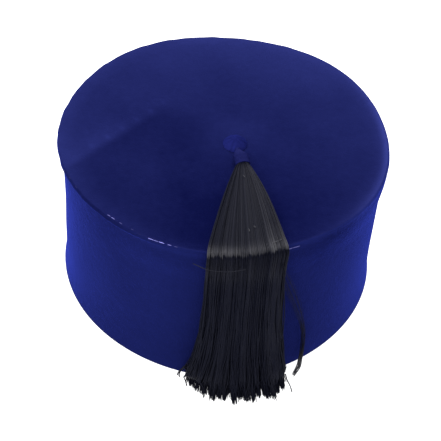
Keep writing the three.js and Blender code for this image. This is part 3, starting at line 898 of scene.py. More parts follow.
def edge_sheen_and_shade(x, y):
    """Painted sheen and shade towards the edge: painted sheen that grows towards the edge, most at the sides
    and least in front, with a patch of painted shade inside it at the front left, and painted sheen
    brightest along the rim on the right."""
    turn, reach = np.arctan2(y, x), np.hypot(x, y)
    front_right, front_left = (bell(apart(turn, middle), wide) for middle, wide in (FRONT_RIGHT, FRONT_LEFT))
    at_sides = EDGE_SHEEN_IN_FRONT + (1 - EDGE_SHEEN_IN_FRONT) * np.abs(x / TOP_RADIUS)
    edge_sheen = PAINTED_EDGE_SHEEN * ease(reach, EDGE_SHEEN_FROM, TOP_RADIUS) * at_sides
    edge_sheen = edge_sheen * (1 - FRONT_RIGHT_LOSS * front_right - FRONT_LEFT_LOSS * front_left)
    # dark is painted shade at the front left, and rim is painted sheen
    dark = PAINTED_SHADE_FRONT_LEFT * front_left * ease(reach, *SHADE_FRONT_LEFT_RISE)
    rim = np.maximum((reach - RIM_SHEEN_FROM) / RIM_SHEEN_WIDTH, 0) ** 2
    rim = PAINTED_RIM_SHEEN * rim * np.maximum(np.cos(turn - RIM_SHEEN_TURN), 0) ** RIM_SHEEN_POWER
    return edge_sheen - dark + rim


def crease_tone(x, y):
    """Tone at the crease: a step up across it that fades away to its left, and a row of light flecks."""
    run, aside, ends = crease_frame(x, y)
    step = ease(aside, *CREASE_STEP_RISE) * np.exp(-np.maximum(aside, 0) / CREASE_STEP_FADE)
    step = step * ease(run, -CREASE_FADE, 0) * ease(CREASE_LENGTH - run, *CREASE_STEP_END)
    flecks = np.maximum(np.sin(2 * math.pi * run / FLECK_PITCH + FLECK_PHASE), 0) ** FLECK_POWER
    return LIGHTER_LEFT_OF_CREASE * step + CREASE_FLECKS * flecks * bell(aside, FLECK_HALF_WIDTH) * ends


# %% Painted light and shade down the roll
# Painted shade down the roll on the left, and a painted light crest in front and on the right
PAINTED_SHADE_ON_LEFT_ROLL = -0.8
LEFT_ROLL_SHADE_AT_BACK = 0.35
LEFT_ROLL_SHADE_RISE = (0, 0.6)
PAINTED_CREST_LIGHT = 0.7
CREST_TURN = math.radians(-46)
CREST_HALF_WIDTH = math.radians(20)
PATCHES_RETURN = (0.75, 1.0)
LIFT_AT_CREST = 0.45
LIFT_RISE = (0.3, 0.8)
WALL_NAP_AND_LIGHT_RISE = (-0.2, 0.4)


def top_nap_and_light(x, y):
    """Tone of the top, pile and painted light together: the sum of its three parts. Down the roll it is
    painted into shade on the left, and on the right it becomes the wall's tone, lifted by painted light on
    the crest and without the wall's patches of painted shade."""
    turn = np.arctan2(y, x)
    above = broad_nap_and_sheen(x, y) + edge_sheen_and_shade(x, y) + crease_tone(x, y)
    over_edge = (np.hypot(x, y) - EDGE_RING_RADIUS) / EDGE_ROLL
    flush = eaves_share(turn)
    in_front = np.clip(-2 * y / TOP_RADIUS, LEFT_ROLL_SHADE_AT_BACK, 1)
    # left is painted shade down the roll, and lift is painted light on the crest
    left = PAINTED_SHADE_ON_LEFT_ROLL * (1 - flush) * in_front * ease(over_edge, *LEFT_ROLL_SHADE_RISE)
    lift = PAINTED_CREST_LIGHT * bell(apart(turn, CREST_TURN), CREST_HALF_WIDTH)
    lift = lift + painted_shade_patches(turn) * (1 - ease(over_edge, *PATCHES_RETURN))
    lift = lift * (LIFT_AT_CREST + (1 - LIFT_AT_CREST) * ease(over_edge, *LIFT_RISE))
    roll = nap_and_light_of_wall(turn, wall_top) + lift
    return above + left + (roll - above) * flush * ease(over_edge, *WALL_NAP_AND_LIGHT_RISE)


nap_and_painted_light = top_nap_and_light(x, y)
give_values(top, "nap_and_painted_light", np.concatenate([nap_and_painted_light.ravel(), [0, nap_and_painted_light[-1].mean()]]))
print("nap of the top, darkest and lightest:", nap_and_painted_light.min().round(2), nap_and_painted_light.max().round(2))

# %% [markdown]
# ## The button
#
# The button is a little disc wrapped in velvet that is drawn together underneath. Its outline is a low dome
# with a flat foot, and gathers run up its side and fade before they meet in the middle. It has the same
# kind of grid as the top, round its own middle.

# %% Make the button
BUTTON_RADIUS = 6.8 * MM
BUTTON_HEIGHT = 4.5 * MM
BUTTON_FOOT_SHARES = (0.15, 0.97)
BUTTON_WAIST_SHARE = 0.08
DOME_POWER = 1.5
BUTTON_SUNK = 0.1 * MM
GATHERS = 16
GATHER_DEPTH = 0.14 * MM
GATHER_DRIFT = 1.5
GATHER_CHANGE = 0.25
GATHER_CHANGES = [(3, GATHER_CHANGE, 1, 0)]  # number of waves, size, phase, slant
GATHER_FROM = 0.8 * MM
GATHER_LIFT = 0.4
BUTTON_STEPS = 96
FOOT_STEPS = 4
WAIST_STEPS = 7
DOME_STEPS = 26


def button_profile():
    """Radii and heights from the foot's middle, out to the waist on a quarter curve, and over the dome."""
    foot = np.linspace(*BUTTON_FOOT_SHARES, FOOT_STEPS)
    low = np.linspace(0, math.pi / 2, WAIST_STEPS)[1:-1]
    side = foot[-1] + (1 - foot[-1]) * np.sin(low)
    side_height = BUTTON_WAIST_SHARE * (1 - np.cos(low))
    lift = np.linspace(0, math.pi / 2, DOME_STEPS, endpoint=False)
    dome_height = BUTTON_WAIST_SHARE + (1 - BUTTON_WAIST_SHARE) * np.sin(lift) ** DOME_POWER
    radii = BUTTON_RADIUS * np.concatenate([foot, side, np.cos(lift)])
    heights = BUTTON_HEIGHT * np.concatenate([0 * foot, side_height, dome_height])
    return np.stack([radii, heights], -1)


button_outline = button_profile()
button_rows = len(button_outline)
button_turn = np.arange(BUTTON_STEPS) * (2 * math.pi / BUTTON_STEPS)
turn, radius = np.meshgrid(button_turn, button_outline[:, 0])
height = np.broadcast_to(button_outline[:, 1:2], turn.shape)
share = radius / BUTTON_RADIUS
folds = np.cos(GATHERS * turn + GATHER_DRIFT * np.sin(2 * turn))
folds = folds * (1 - GATHER_CHANGE + waves(GATHER_CHANGES, turn))
gather = GATHER_DEPTH * share**2 * folds * ease(height, 0, GATHER_FROM)
button_points = polar(turn, radius + gather, height + GATHER_LIFT * gather * (height > 0)).reshape(-1, 3)
button_points = np.concatenate([button_points, [[0, 0, 0], [0, 0, BUTTON_HEIGHT]]])
button_points = button_points + np.array([BUTTON_X, BUTTON_Y, -BUTTON_SUNK])
x, y = button_points[:, 0], button_points[:, 1]
button_points[:, 2] += top_height(x, y) + top_relief(x, y)
button_faces = [ring_faces(button_rows, BUTTON_STEPS, False), pole_faces(button_rows, BUTTON_STEPS)]
button = new_piece("button_velvet", button_points, button_faces, [button_velvet],
                   "crown_button")

# %% Nap and painted light of the button
BUTTON_NAP = 0.35
# Painted light: lighter on the gathers' ridges and darker in their hollows, lighter on the left, much
# lighter in front
LIGHT_ON_GATHERS = 0.12
PAINTED_LIGHT_ON_LEFT = 0.25
PAINTED_LIGHT_IN_FRONT = 2.0
NAP_AT_POLES = [0, 0.7]

# Painted light and shade over the base tone of the button
sides_light = LIGHT_ON_GATHERS * folds - PAINTED_LIGHT_ON_LEFT * np.cos(turn)
front_light = PAINTED_LIGHT_IN_FRONT * np.maximum(-np.sin(turn), 0)
button_nap_and_light = BUTTON_NAP + sides_light * share + front_light * share**2
give_values(button, "nap_and_painted_light", np.concatenate([button_nap_and_light.ravel(), NAP_AT_POLES]))
print("nap of the button, darkest and lightest:", button_nap_and_light.min().round(2), button_nap_and_light.max().round(2))

# %% [markdown]
# ## Threads and cords
#
# A thread is a path with a small ring of points at each step. The ring stands square to the path: one of
# its two directions is the part of a fixed direction that is square to the path, and the other is square
# to both. All the threads of a piece are one array, so thousands of them take a moment.

# %% Helpers for paths and threads
UP = np.array([0, 0, 1.0])


def outwards(turn):
    """Level direction away from the crown's axis at an angle."""
    return polar(turn, 1.0, 0.0)


def sideways(turn):
    """Level direction round the crown's axis at an angle: the outward one, a quarter turn on."""
    return outwards(turn + math.pi / 2)


def smooth_path(knots, places):
    """Points of a smooth curve through knots: between two knots it is the cubic whose slope at each is half
    of the step from the knot before to the knot after. Knots are the second axis from the end, and a place
    of 2.5 is half way from knot 2 to knot 3."""
    before = 2 * knots[..., :1, :] - knots[..., 1:2, :]
    after = 2 * knots[..., -1:, :] - knots[..., -2:-1, :]
    padded = np.concatenate([before, knots, after], -2)
    span = np.minimum(places.astype(int), knots.shape[-2] - 2)
    t = (places - span)[:, None]
    a, b, c, d = (padded[..., span + shift, :] for shift in range(4))
    return b + t * ((c - a) / 2 + t * ((2 * a - 5 * b + 4 * c - d) / 2 + t * (3 * b - 3 * c + d - a) / 2))


def thread_points(paths, radii, sides, across, twist):
    """Rings of points round paths: each path point plus its radius times a direction that goes once round,
    square to the path."""
    along = np.gradient(paths, axis=-2)
    along /= np.linalg.norm(along, axis=-1, keepdims=True)
    right = across - along * np.sum(along * across, -1, keepdims=True)
    right /= np.linalg.norm(right, axis=-1, keepdims=True)
    up = np.cross(along, right)
    angle = np.arange(sides) * (2 * math.pi / sides) + twist
    ring = np.cos(angle)[:, None] * right[..., None, :] + np.sin(angle)[:, None] * up[..., None, :]
    return paths[..., None, :] + radii[..., None, None] * ring


def thread_faces(threads, steps, sides):
    """Faces of many threads: walls between neighbouring rings, and a flat end on the first and last ring."""
    walls = ring_faces(steps, sides, False)
    around_end = np.arange(sides)
    ends = np.stack([around_end[::-1], (steps - 1) * sides + around_end])
    first_point = (np.arange(threads) * steps * sides)[:, None, None]
    return [(group + first_point).reshape(-1, group.shape[1]) for group in (walls, ends)]


def thread_piece(name, paths, radii, sides, across, finish, slot, node=None, twist=0.0, **values):
    """Makes a piece of threads along paths. Radii, and the values that its finish reads, are one number for
    each step of each thread, or fewer where they repeat, and the whole ring at a step takes its value."""
    count, steps = paths.shape[:2]
    points = thread_points(paths, np.broadcast_to(radii, (count, steps)), sides, across, twist)
    piece = new_piece(name, points.reshape(-1, 3), thread_faces(count, steps, sides), [finish], node)
    for value_name, numbers in values.items():
        give_values(piece, value_name, np.repeat(np.broadcast_to(numbers, (count, steps)), sides))


# %% [markdown]
# ## Stitches round the edge
#
# The top is sewn to the wall by hand. The stitches sink into the pile, so most show only as a faint row of
# dips and glints along the crest of the rolled edge, and a few that lie on the surface catch the light,
# pale as lilac. Each stitch is a short bowed thread whose two ends dive into the velvet.

# %% The sewing thread's finish
STITCH_FIBRE = 0.5 * MM
STITCH_FIBRE_TONE = 0.12
STITCH_FIBRE_DEPTH = 0.1 * MM


def sewing_thread(name, sunk, proud):
    """Sewing thread: dark where it lies in the pile and pale where it stands out, with a fine grain. The
    pale is partly a worn, paler thread and partly a painted glint.
    """
    finish, tree, shader = new_finish(name, {"Roughness": 0.7, "Specular IOR Level": 0.1})
    fibre = noise_on(tree, own_place(tree), STITCH_FIBRE, detail=2)
    tone = sum_of(tree, value_of(tree, "proud"), fibre, STITCH_FIBRE_TONE)
    tree.links.new(blend_of(tree, tone, sunk, proud), shader.inputs["Base Color"])
    tree.links.new(bump_from(tree, fibre, STITCH_FIBRE_DEPTH), shader.inputs["Normal"])
    return finish


# The pale colour of the proud stitches is partly a painted glint
stitch_thread = sewing_thread("stitch_thread", sunk=(0.004, 0.005, 0.045), proud=(0.22, 0.22, 0.62))
print("sewing thread:", stitch_thread.name)

# %% Make the stitches
STITCH_PITCH = 8 * MM
STITCH_LENGTH = 5.0 * MM
STITCH_RADIUS = 0.2 * MM
STITCH_TAPER = 0.45
STITCH_TAPER_POWER = 3
STITCH_STEPS = 9
STITCH_SIDES = 6
STITCH_BOW = 0.5 * MM
STITCH_BOW_POWER = 4
STITCH_LIFT_DEG = 66
SUNK = -0.2 * MM
PROUD_STITCHES = [  # degrees round the crown, length in mm, share that stands out, degrees up the roll
    (-127.6, 3.0, 0.45, 98),
    (-125.8, 3.0, 0.6, 98),
    (-122.6, 3.4, 0.3, 98),
    (-118.0, 2.4, 0.15, 98),
    (-110.9, 3.6, 0.75, 66),
    (-109.2, 3.6, 0.5, 66),
    (-107.3, 3.4, 0.95, 66),
    (-104.7, 2.4, 0.6, 66),
    (-102.6, 3.0, 0.15, 66),
    (-67.2, 5.6, 0.6, -15),
    (-64.6, 5.6, 0.5, -12),
]

proud_deg, proud_mm, proud_share, proud_lift_deg = np.array(PROUD_STITCHES).T
proud_turn = np.radians(proud_deg)
stitch_count = round(2 * math.pi * EDGE_RING_RADIUS / STITCH_PITCH)
even_turn = np.arange(stitch_count) * (2 * math.pi / stitch_count)
nearest = apart(even_turn[:, None], proud_turn).min(1) * EDGE_RING_RADIUS
sunk_turn = even_turn[nearest > STITCH_PITCH / 2]


def sunk_and_proud(sunk, proud):
    """A column of values for all stitches: those of the sunk ones, or one for them all, then the others."""
    return np.concatenate([np.broadcast_to(sunk, len(sunk_turn)), proud])[:, None]


stands_out = sunk_and_proud(0, proud_share)
half_length = sunk_and_proud(STITCH_LENGTH, proud_mm * MM) / 2
lift = np.radians(sunk_and_proud(STITCH_LIFT_DEG, proud_lift_deg))
place = np.linspace(-1, 1, STITCH_STEPS)
turn = sunk_and_proud(sunk_turn, proud_turn) + place * half_length / EDGE_RING_RADIUS
reach = EDGE_ROLL + SUNK + (STITCH_RADIUS - SUNK) * stands_out - STITCH_BOW * place**STITCH_BOW_POWER
radius = EDGE_RING_RADIUS + swell(turn) + reach * np.cos(lift)
height = EDGE_RING_HEIGHT + edge_relief(turn, ROLL_HEIGHT_SHIFT) + reach * np.sin(lift)
stitch_radii = STITCH_RADIUS * (1 - STITCH_TAPER * np.abs(place) ** STITCH_TAPER_POWER)
thread_piece("edge_stitches", polar(turn, radius, height), stitch_radii, STITCH_SIDES, UP, stitch_thread,
             "velvet_top", proud=stands_out)

# %% [markdown]
# ## How the tassel's threads run
#
# The tassel is a bundle of loose threads. From the button they run through the bound neck, open into a fan
# that lies on the top, fold over the rolled edge, and hang down the wall, until their ends splay on the
# table. Each thread keeps a place across the tassel, its side from -1 to 1, and a place in its thickness,
# its depth from 0 against the crown to 1 outermost. A list of sections says where a thread with a given
# side and depth passes, and a smooth curve joins them.

# %% Sections of the tassel
NECK_TURN = math.radians(-76.3)
NECK_WAY = outwards(NECK_TURN)
NECK_ACROSS = sideways(NECK_TURN)
BINDING_RADIUS = 4.3 * MM
BINDING_START = 5.4 * MM
BINDING_LENGTH = 16.1 * MM
BINDING_END = BINDING_START + BINDING_LENGTH
NECK_FLATTEN = 0.65
NECK_SECTIONS = [  # distance from the button's middle, half width of the bundle, height over the neck's axis
    (4.6 * MM, 0.4 * MM, -1.7 * MM),
    (10.7 * MM, 1.8 * MM, -0.9 * MM),
    (16.1 * MM, 3.2 * MM, 0.0),
    (20.5 * MM, 3.6 * MM, 0.0),
]
TASSEL_TURN = math.radians(-80.6)
FAN_START = 21.1 * MM
FAN_ROOT_HALF_WIDTH = 2.8 * MM
FAN_ROOT_ASIDE = -0.6 * MM
FAN_BULGE = (1.2 * MM, 2.4 * MM)
FAN_BULGE_POWER = 0.75
LAY_GAP = 0.4 * MM
FAN_SECTIONS = [  # share of the way from the neck to the edge, thickness
    (0.03, 4.9 * MM),
    (0.14, 4.9 * MM),
    (0.36, 4.7 * MM),
    (0.65, 4.4 * MM),
    (0.94, 4.0 * MM),
]
FOLD_SPAN = np.radians([12.1, 12.6])
FOLD_SECTIONS = [  # angle round the rolled edge from straight out, thickness
    (math.radians(60), 4.0 * MM),
    (math.radians(33), 4.0 * MM),
    (math.radians(4), 4.2 * MM),
]
SKIRT_SECTIONS = [  # height, inner radius, thickness, angles spanned to the left and the right
    (88 * MM, 93.2 * MM, 4.6 * MM, np.radians([12.2, 11.8])),
    (76 * MM, 93.2 * MM, 5.0 * MM, np.radians([12.3, 11.8])),
    (52 * MM, 93.8 * MM, 6.2 * MM, np.radians([12.5, 12.1])),
    (30 * MM, 94.8 * MM, 8.2 * MM, np.radians([13.7, 13.0])),
    (13 * MM, 96.4 * MM, 12.0 * MM, np.radians([15.9, 14.0])),
]
END_SPAN = np.radians([16.4, 14.9])
END_INNER_RADIUS = 100 * MM
END_OUTER_RADIUS = 117 * MM
END_LEFT_LOSS = 10.5 * MM
END_LEFT_POWER = 2
END_RIGHT_LOSS = 13 * MM
END_RIGHT_POWER = 6
END_DEPTH_POWER = 0.5
HEM_CLEARANCE = 0.5 * MM
HEM_FRONT = RIM_RADIUS + HEM_BULGE + HEM_CLEARANCE
FLOOR_GAP = 0.25 * MM
THREAD_RADIUS = 0.17 * MM
THREAD_SIDES = 4
THREAD_TWIST = math.pi / 4

neck_foot = np.array([BUTTON_X, BUTTON_Y, 0]) + NECK_WAY * BINDING_END
NECK_HEIGHT = top_height(neck_foot[0], neck_foot[1]) + PIECE_GAP + BINDING_RADIUS * NECK_FLATTEN


def turn_at(side, span):
    """Angle of a place across the tassel, for the angles spanned to the left and right of its middle."""
    return TASSEL_TURN + side * np.where(side < 0, *span)


def neck_point(distance):
    """Point on the neck's axis at a distance from the button's middle."""
    return np.array([BUTTON_X, BUTTON_Y, NECK_HEIGHT]) + NECK_WAY * distance


def layer(depth, thick):
    """Height of a thread above the velvet: the gap, plus its depth's share of the thickness."""
    return LAY_GAP + THREAD_RADIUS + depth * (thick - 2 * THREAD_RADIUS)


def neck_knot(side, depth, distance, bundle, rise):
    """A bundle's round section: the depth gives the height in the circle, the side a share of its chord."""
    level = 2 * depth - 1
    across = side * bundle * np.sqrt(np.maximum(1 - level**2, 0))
    up = rise + level * bundle * NECK_FLATTEN
    return neck_point(distance) + across[:, None] * NECK_ACROSS + up[:, None] * UP


def fan_knot(side, depth, share, thick):
    """A share of the straight way from neck to edge, bowed out a little, one layer above the velvet."""
    fold = turn_at(side, FOLD_SPAN)
    root = neck_point(FAN_START) + (FAN_ROOT_ASIDE + side * FAN_ROOT_HALF_WIDTH)[:, None] * NECK_ACROSS
    edge = polar(fold, EDGE_RING_RADIUS + swell(fold), 0)
    bulge = side * np.where(side < 0, *FAN_BULGE) * math.sin(math.pi * share**FAN_BULGE_POWER)
    point = root + (edge - root) * share + sideways(fold) * bulge[:, None]
    point[:, 2] = top_height(point[:, 0], point[:, 1]) + layer(depth, thick)
    return point


def fold_knot(side, depth, lift, thick):
    """A point round the rolled edge: the edge's ring plus the roll and a layer, lifted from straight out."""
    fold = turn_at(side, FOLD_SPAN)
    reach = EDGE_ROLL + layer(depth, thick)
    radius = EDGE_RING_RADIUS + swell(fold) + reach * math.cos(lift)
    return polar(fold, radius, EDGE_RING_HEIGHT + reach * math.sin(lift))


def skirt_knot(side, depth, height, inner, thick, span):
    """A point of the hanging part: one layer out from the inner radius at a height."""
    return polar(turn_at(side, span), inner + layer(depth, thick), height)


def end_knot(side, depth, ragged, height):
    """A thread's end: outer threads reach further over the table, those at the sides less, all raggedly."""
    reach = END_INNER_RADIUS + (END_OUTER_RADIUS - END_INNER_RADIUS) * depth**END_DEPTH_POWER
    left = END_LEFT_LOSS * np.maximum(-side, 0) ** END_LEFT_POWER
    right = END_RIGHT_LOSS * np.maximum(side, 0) ** END_RIGHT_POWER
    reach = np.maximum(reach - depth * (left + right) + ragged, HEM_FRONT)
    return polar(turn_at(side, END_SPAN), reach, height)


print("neck's height, mm:", round(NECK_HEIGHT / MM, 2))

# %% [markdown]
# ## Combing the threads
#
# Fresh from the neck the threads lie evenly. Further down they cling together in locks, as silky thread
# does, and the ends gather into points, the teeth. So each thread belongs to the nearest of a few dozen
# locks, and at every section it moves a growing share of the way towards its lock. Each thread also wanders
# a little by itself, a few loose ones wander a lot, and the ends are cut unevenly.

# %% Give each thread a place and a lock
SEED = 23
THREADS = 1530
SIDE_JITTER = 0.01
DEPTH_POWER = 0.8
LOCKS = 56
LOCK_SIDE_JITTER = 0.03
LOCK_SIDE_LIMIT = 0.98
LOCK_DEPTHS = np.array([0.97, 0.45, 0.84, 0.15])
LOCK_DEPTH_JITTER = 0.04
LOCK_RISE = 0.045
DEPTH_WEIGHT = 0.16
LOOSE_SHARE = 0.02
WANDER = 0.035
LOOSE_WANDER = 0.09

draw = np.random.default_rng(SEED)
side = np.clip(draw.uniform(-1, 1, THREADS) + draw.normal(0, SIDE_JITTER, THREADS), -1, 1)
depth = draw.uniform(0, 1, THREADS) ** DEPTH_POWER
lock_side = np.linspace(-1, 1, LOCKS) + draw.normal(0, LOCK_SIDE_JITTER, LOCKS)
lock_side = np.clip(lock_side, -LOCK_SIDE_LIMIT, LOCK_SIDE_LIMIT)
lock_depth = LOCK_DEPTHS[np.arange(LOCKS) % len(LOCK_DEPTHS)] + draw.normal(0, LOCK_DEPTH_JITTER, LOCKS)
lock_depth = np.clip(lock_depth, 0, 1)
lock_rise = draw.normal(0, LOCK_RISE, LOCKS)
lock_shade = draw.uniform(0, 1, LOCKS)
from_lock = np.hypot(side[:, None] - lock_side, DEPTH_WEIGHT * (depth[:, None] - lock_depth))
lock_of = np.argmin(from_lock, 1)
loose = draw.uniform(0, 1, THREADS) < LOOSE_SHARE
wander = np.where(loose, LOOSE_WANDER, WANDER)
print("loose threads:", loose.sum(), "threads in the largest lock:", np.bincount(lock_of).max())

# %% From the neck to the hem
LOCK_PULL_AT_END = 0.5
LOCK_PULL_POWER = 5
DEPTH_PULL = 0.3
WANDER_RISE = (0.2, 1.0)

knots = [neck_knot(side, depth, *row) for row in NECK_SECTIONS]
fan_depth = np.clip(depth + lock_rise[lock_of], 0, 1)
knots += [fan_knot(side, fan_depth, *row) for row in FAN_SECTIONS]
hanging = [(fold_knot, row) for row in FOLD_SECTIONS] + [(skirt_knot, row) for row in SKIRT_SECTIONS]
for step, (knot, row) in enumerate(hanging):
    way = step / len(hanging)
    pull = LOCK_PULL_AT_END * way**LOCK_PULL_POWER * ~loose
    drift = draw.normal(0, 1, THREADS) * wander * ease(way, *WANDER_RISE)
    now_side = side + (lock_side[lock_of] - side) * pull + drift
    now_depth = fan_depth + (lock_depth[lock_of] - fan_depth) * pull * DEPTH_PULL
    knots.append(knot(now_side, np.clip(now_depth, 0, 1), *row))
print("knots on each thread before its end:", len(knots))

# %% The ends
TEETH = 17
TOOTH_JITTER = 0.02
TOOTH_LENGTH = 2.6 * MM
TOOTH_POWER = 1.5
TOOTH_UNEVEN = 1.2 * MM
THREAD_RAGGED = 0.5 * MM
LOOSE_LONGER = 1.5 * MM
END_RISE = 0.5 * MM
END_RISE_INSIDE = 2
END_WANDER = 0.6
END_KNOTS = [  # pull towards the tooth's middle, distance before the tip, height above it
    (0.12, 4.5 * MM, 2.0 * MM),
    (0.35, 0.0, 0.0),
]
WISP_PULL = 0.9
WISP_FROM_LEFT = (0.8, 0.92)
LEFT_SPLAY = 0.08
SPLAY_FROM_LEFT = (0.72, 1.0)
LEFT_SHORT = 8.5 * MM
LEFT_SHORT_RISE = 4.5 * MM
LEFT_SHORT_SHARE = 0.9
SHORT_FROM_LEFT = (0.88, 0.95)

tooth_side = np.linspace(-1, 1, TEETH) + draw.normal(0, TOOTH_JITTER, TEETH)
tooth_reach = draw.normal(0, TOOTH_UNEVEN, TEETH)
tooth_of = np.argmin(np.abs(side[:, None] - tooth_side), 1)
to_tooth, to_lock = tooth_side[tooth_of] - side, lock_side[lock_of] - side
from_middle = np.minimum(np.abs(to_tooth) * (TEETH - 1), 1)
cut_short = (lock_shade[lock_of] < LEFT_SHORT_SHARE) * ease(-side, *SHORT_FROM_LEFT)
ragged = tooth_reach[tooth_of] - TOOTH_LENGTH * from_middle**TOOTH_POWER
ragged = ragged - np.abs(draw.normal(0, THREAD_RAGGED, THREADS))
ragged = ragged + np.where(loose, LOOSE_LONGER, 0) - LEFT_SHORT * cut_short
risen = np.abs(draw.normal(0, END_RISE, THREADS)) * (1 + END_RISE_INSIDE * (1 - depth))
end_height = FLOOR_GAP + THREAD_RADIUS + risen + LEFT_SHORT_RISE * cut_short
drift = draw.normal(0, END_WANDER, THREADS) * wander
wisp = WISP_PULL * ease(-side, *WISP_FROM_LEFT)
for tooth_pull, before_tip, rise in END_KNOTS:
    end_side = side + (to_tooth * tooth_pull * (1 - wisp) + to_lock * wisp) * ~loose + drift
    end_side -= LEFT_SPLAY * ease(-end_side, *SPLAY_FROM_LEFT)
    knots.append(end_knot(end_side, fan_depth, ragged - before_tip, end_height + rise))
knots = np.stack(knots, 1)
print("threads:", knots.shape[0], "knots on each:", knots.shape[1])

# %% [markdown]
# ## Silk finish
#
# The thread is black and silky. Where it lies on the top the light from above runs along it, so it looks
# grey; this grey is painted into its colour as a painted sheen, with a painted highlight before the fold.
# Where it hangs it stays black. Two attributes tell the finish about it: one is about 1 where the painted
# highlight is brightest, before the fold, and almost 0 on the skirt, and it also carries the real pale of
# lint; the other, shade, differs from lock to lock and a little from thread to thread.

# %% The silk finish
SILK_FIBRE = 1.2 * MM
SILK_FIBRE_TONE = 0.5
SILK_FIBRE_DEPTH = 0.08 * MM
SILK_ROUGHNESS = (0.44, 0.6)


def silk(name, black, faded):
    """Silky thread: a black that goes to grey by its value of painted sheen and lint times its own shade,
    with a fine grain.
    """
    finish, tree, shader = new_finish(name, {"Specular IOR Level": 0.03})
    fibre = noise_on(tree, own_place(tree), SILK_FIBRE, detail=3)
    streak = sum_of(tree, value_of(tree, "shade"), fibre, SILK_FIBRE_TONE)
    tone = add_node(tree, "ShaderNodeMath", operation="MULTIPLY")
    tree.links.new(value_of(tree, "faded"), tone.inputs[0])
    tree.links.new(streak, tone.inputs[1])
    tree.links.new(blend_of(tree, tone.outputs[0], black, faded), shader.inputs["Base Color"])
    tree.links.new(range_of(tree, fibre, (0, 1), SILK_ROUGHNESS), shader.inputs["Roughness"])
    tree.links.new(bump_from(tree, fibre, SILK_FIBRE_DEPTH), shader.inputs["Normal"])
    return finish


# The grey is painted sheen on the fan, and the real pale of lint
black_silk = silk("black_silk", black=(0.0036, 0.0043, 0.0110), faded=(0.071, 0.071, 0.081))
print("silk:", black_silk.name)

# %% [markdown]
# ## The tassel
#
# The threads are thin at the neck, where the binding squeezes them, full from the middle of the fan on,
# thicker where the skirt spreads, so that it stays dense, and thinner again at their tips. A single mesh of
# them all would be too heavy to pass on, so they become three pieces: the left, the middle and the right of
# the tassel.

# %% Paths and thickness of the threads
NECK_SQUEEZE = 0.45
SPREAD_SHARE = 0.65
TIP_SHARE = 0.7
TIP_LENGTH = 0.5
FAN_KNOT = len(NECK_SECTIONS)
FOLD_KNOT = FAN_KNOT + len(FAN_SECTIONS)
SKIRT_KNOT = FOLD_KNOT + len(FOLD_SECTIONS)
END_KNOT = knots.shape[1] - 1
THREAD_STRETCHES = [  # first knot, last knot, steps between them
    (0, FOLD_KNOT - 1, 14),
    (FOLD_KNOT - 1, SKIRT_KNOT, 14),
    (SKIRT_KNOT, END_KNOT, 17),
]
LOWEST = FLOOR_GAP / 2 + THREAD_RADIUS

stretches = [np.linspace(first, last, steps, endpoint=False) for first, last, steps in THREAD_STRETCHES]
along = np.concatenate(stretches + [[END_KNOT]])
paths = smooth_path(knots, along)
paths[..., 2] = np.maximum(paths[..., 2], LOWEST)
full = NECK_SQUEEZE + (1 - NECK_SQUEEZE) * ease(along, FAN_KNOT - 1, FOLD_KNOT - 2)
spread_out = 1 + SPREAD_SHARE * ease(along, SKIRT_KNOT - 1, SKIRT_KNOT + 2)
pointed = TIP_SHARE + (1 - TIP_SHARE) * ease(END_KNOT - along, 0, TIP_LENGTH)
radii = THREAD_RADIUS * full * spread_out * pointed
print("steps on each thread:", len(along), "thickest, mm:", round(2 * radii.max() / MM, 2))

# %% Shades, painted sheen and painted shade of the threads
LOCK_SHADE_SHARE = 0.6
SHADE_CHANGE_SPAN = 4
SHADE_CHANGE_LENGTH = 2
FADE_END = FOLD_KNOT + 0.92
FADE_END_RISE = 0.5
FADE_END_POWER = 1.5
FADE_JAGGED = 0.45
FADE_JITTER = 0.5
FADE_WIDTH = 0.25
FAN_OPENS = (FAN_KNOT - 0.6, FAN_KNOT + 0.6)
# Painted sheen on the fan, paler on its right, and a painted highlight before the fold
FAN_PAINTED_SHEEN = 0.178
FAN_SHEEN_ON_RIGHT = 0.105
HIGHLIGHT_FROM = FOLD_KNOT - 1.0
HIGHLIGHT_TO = FOLD_KNOT + 0.4
HIGHLIGHT_EARLIER_ON_RIGHT = 0.8
END_TONE = 0.08
UNDER_FOLD_TONE = 0.1
# Painted shade along the fan's left edge
PAINTED_SHADE_LEFT_EDGE = 0.7
SHADE_FROM_LEFT = (0.72, 0.92)
SHADE_LEFT_END = (FAN_KNOT + 2, FOLD_KNOT - 1)


def painted_sheen_and_tone(side, jagged):
    """How grey the threads are painted: black at the neck, a dull painted sheen on the fan, paler on its
    right, a painted highlight before the fold, and black again below a jagged line that climbs to the right.
    The fan's left edge is painted into shade, and the ends are a little lighter."""
    right = np.maximum(side, 0)
    dull = FAN_PAINTED_SHEEN + FAN_SHEEN_ON_RIGHT * side
    # dull is the fan's painted sheen, and pale adds the painted highlight before the fold
    early = HIGHLIGHT_EARLIER_ON_RIGHT * right
    pale = dull + (1 - dull) * ease(along, HIGHLIGHT_FROM - early, HIGHLIGHT_TO - early / 2)
    left_edge_shade = PAINTED_SHADE_LEFT_EDGE * ease(-side, *SHADE_FROM_LEFT) * (1 - ease(along, *SHADE_LEFT_END))
    last = FADE_END - FADE_END_RISE * right**FADE_END_POWER + jagged
    lying_sheen = pale * (1 - left_edge_shade) * between(along, FAN_OPENS, (last - FADE_WIDTH, last + FADE_WIDTH))
    under_fold = UNDER_FOLD_TONE * between(along, (FOLD_KNOT, SKIRT_KNOT), (SKIRT_KNOT, SKIRT_KNOT + 1))
    return lying_sheen + under_fold + END_TONE * ease(along, SKIRT_KNOT + 1, END_KNOT - 1)


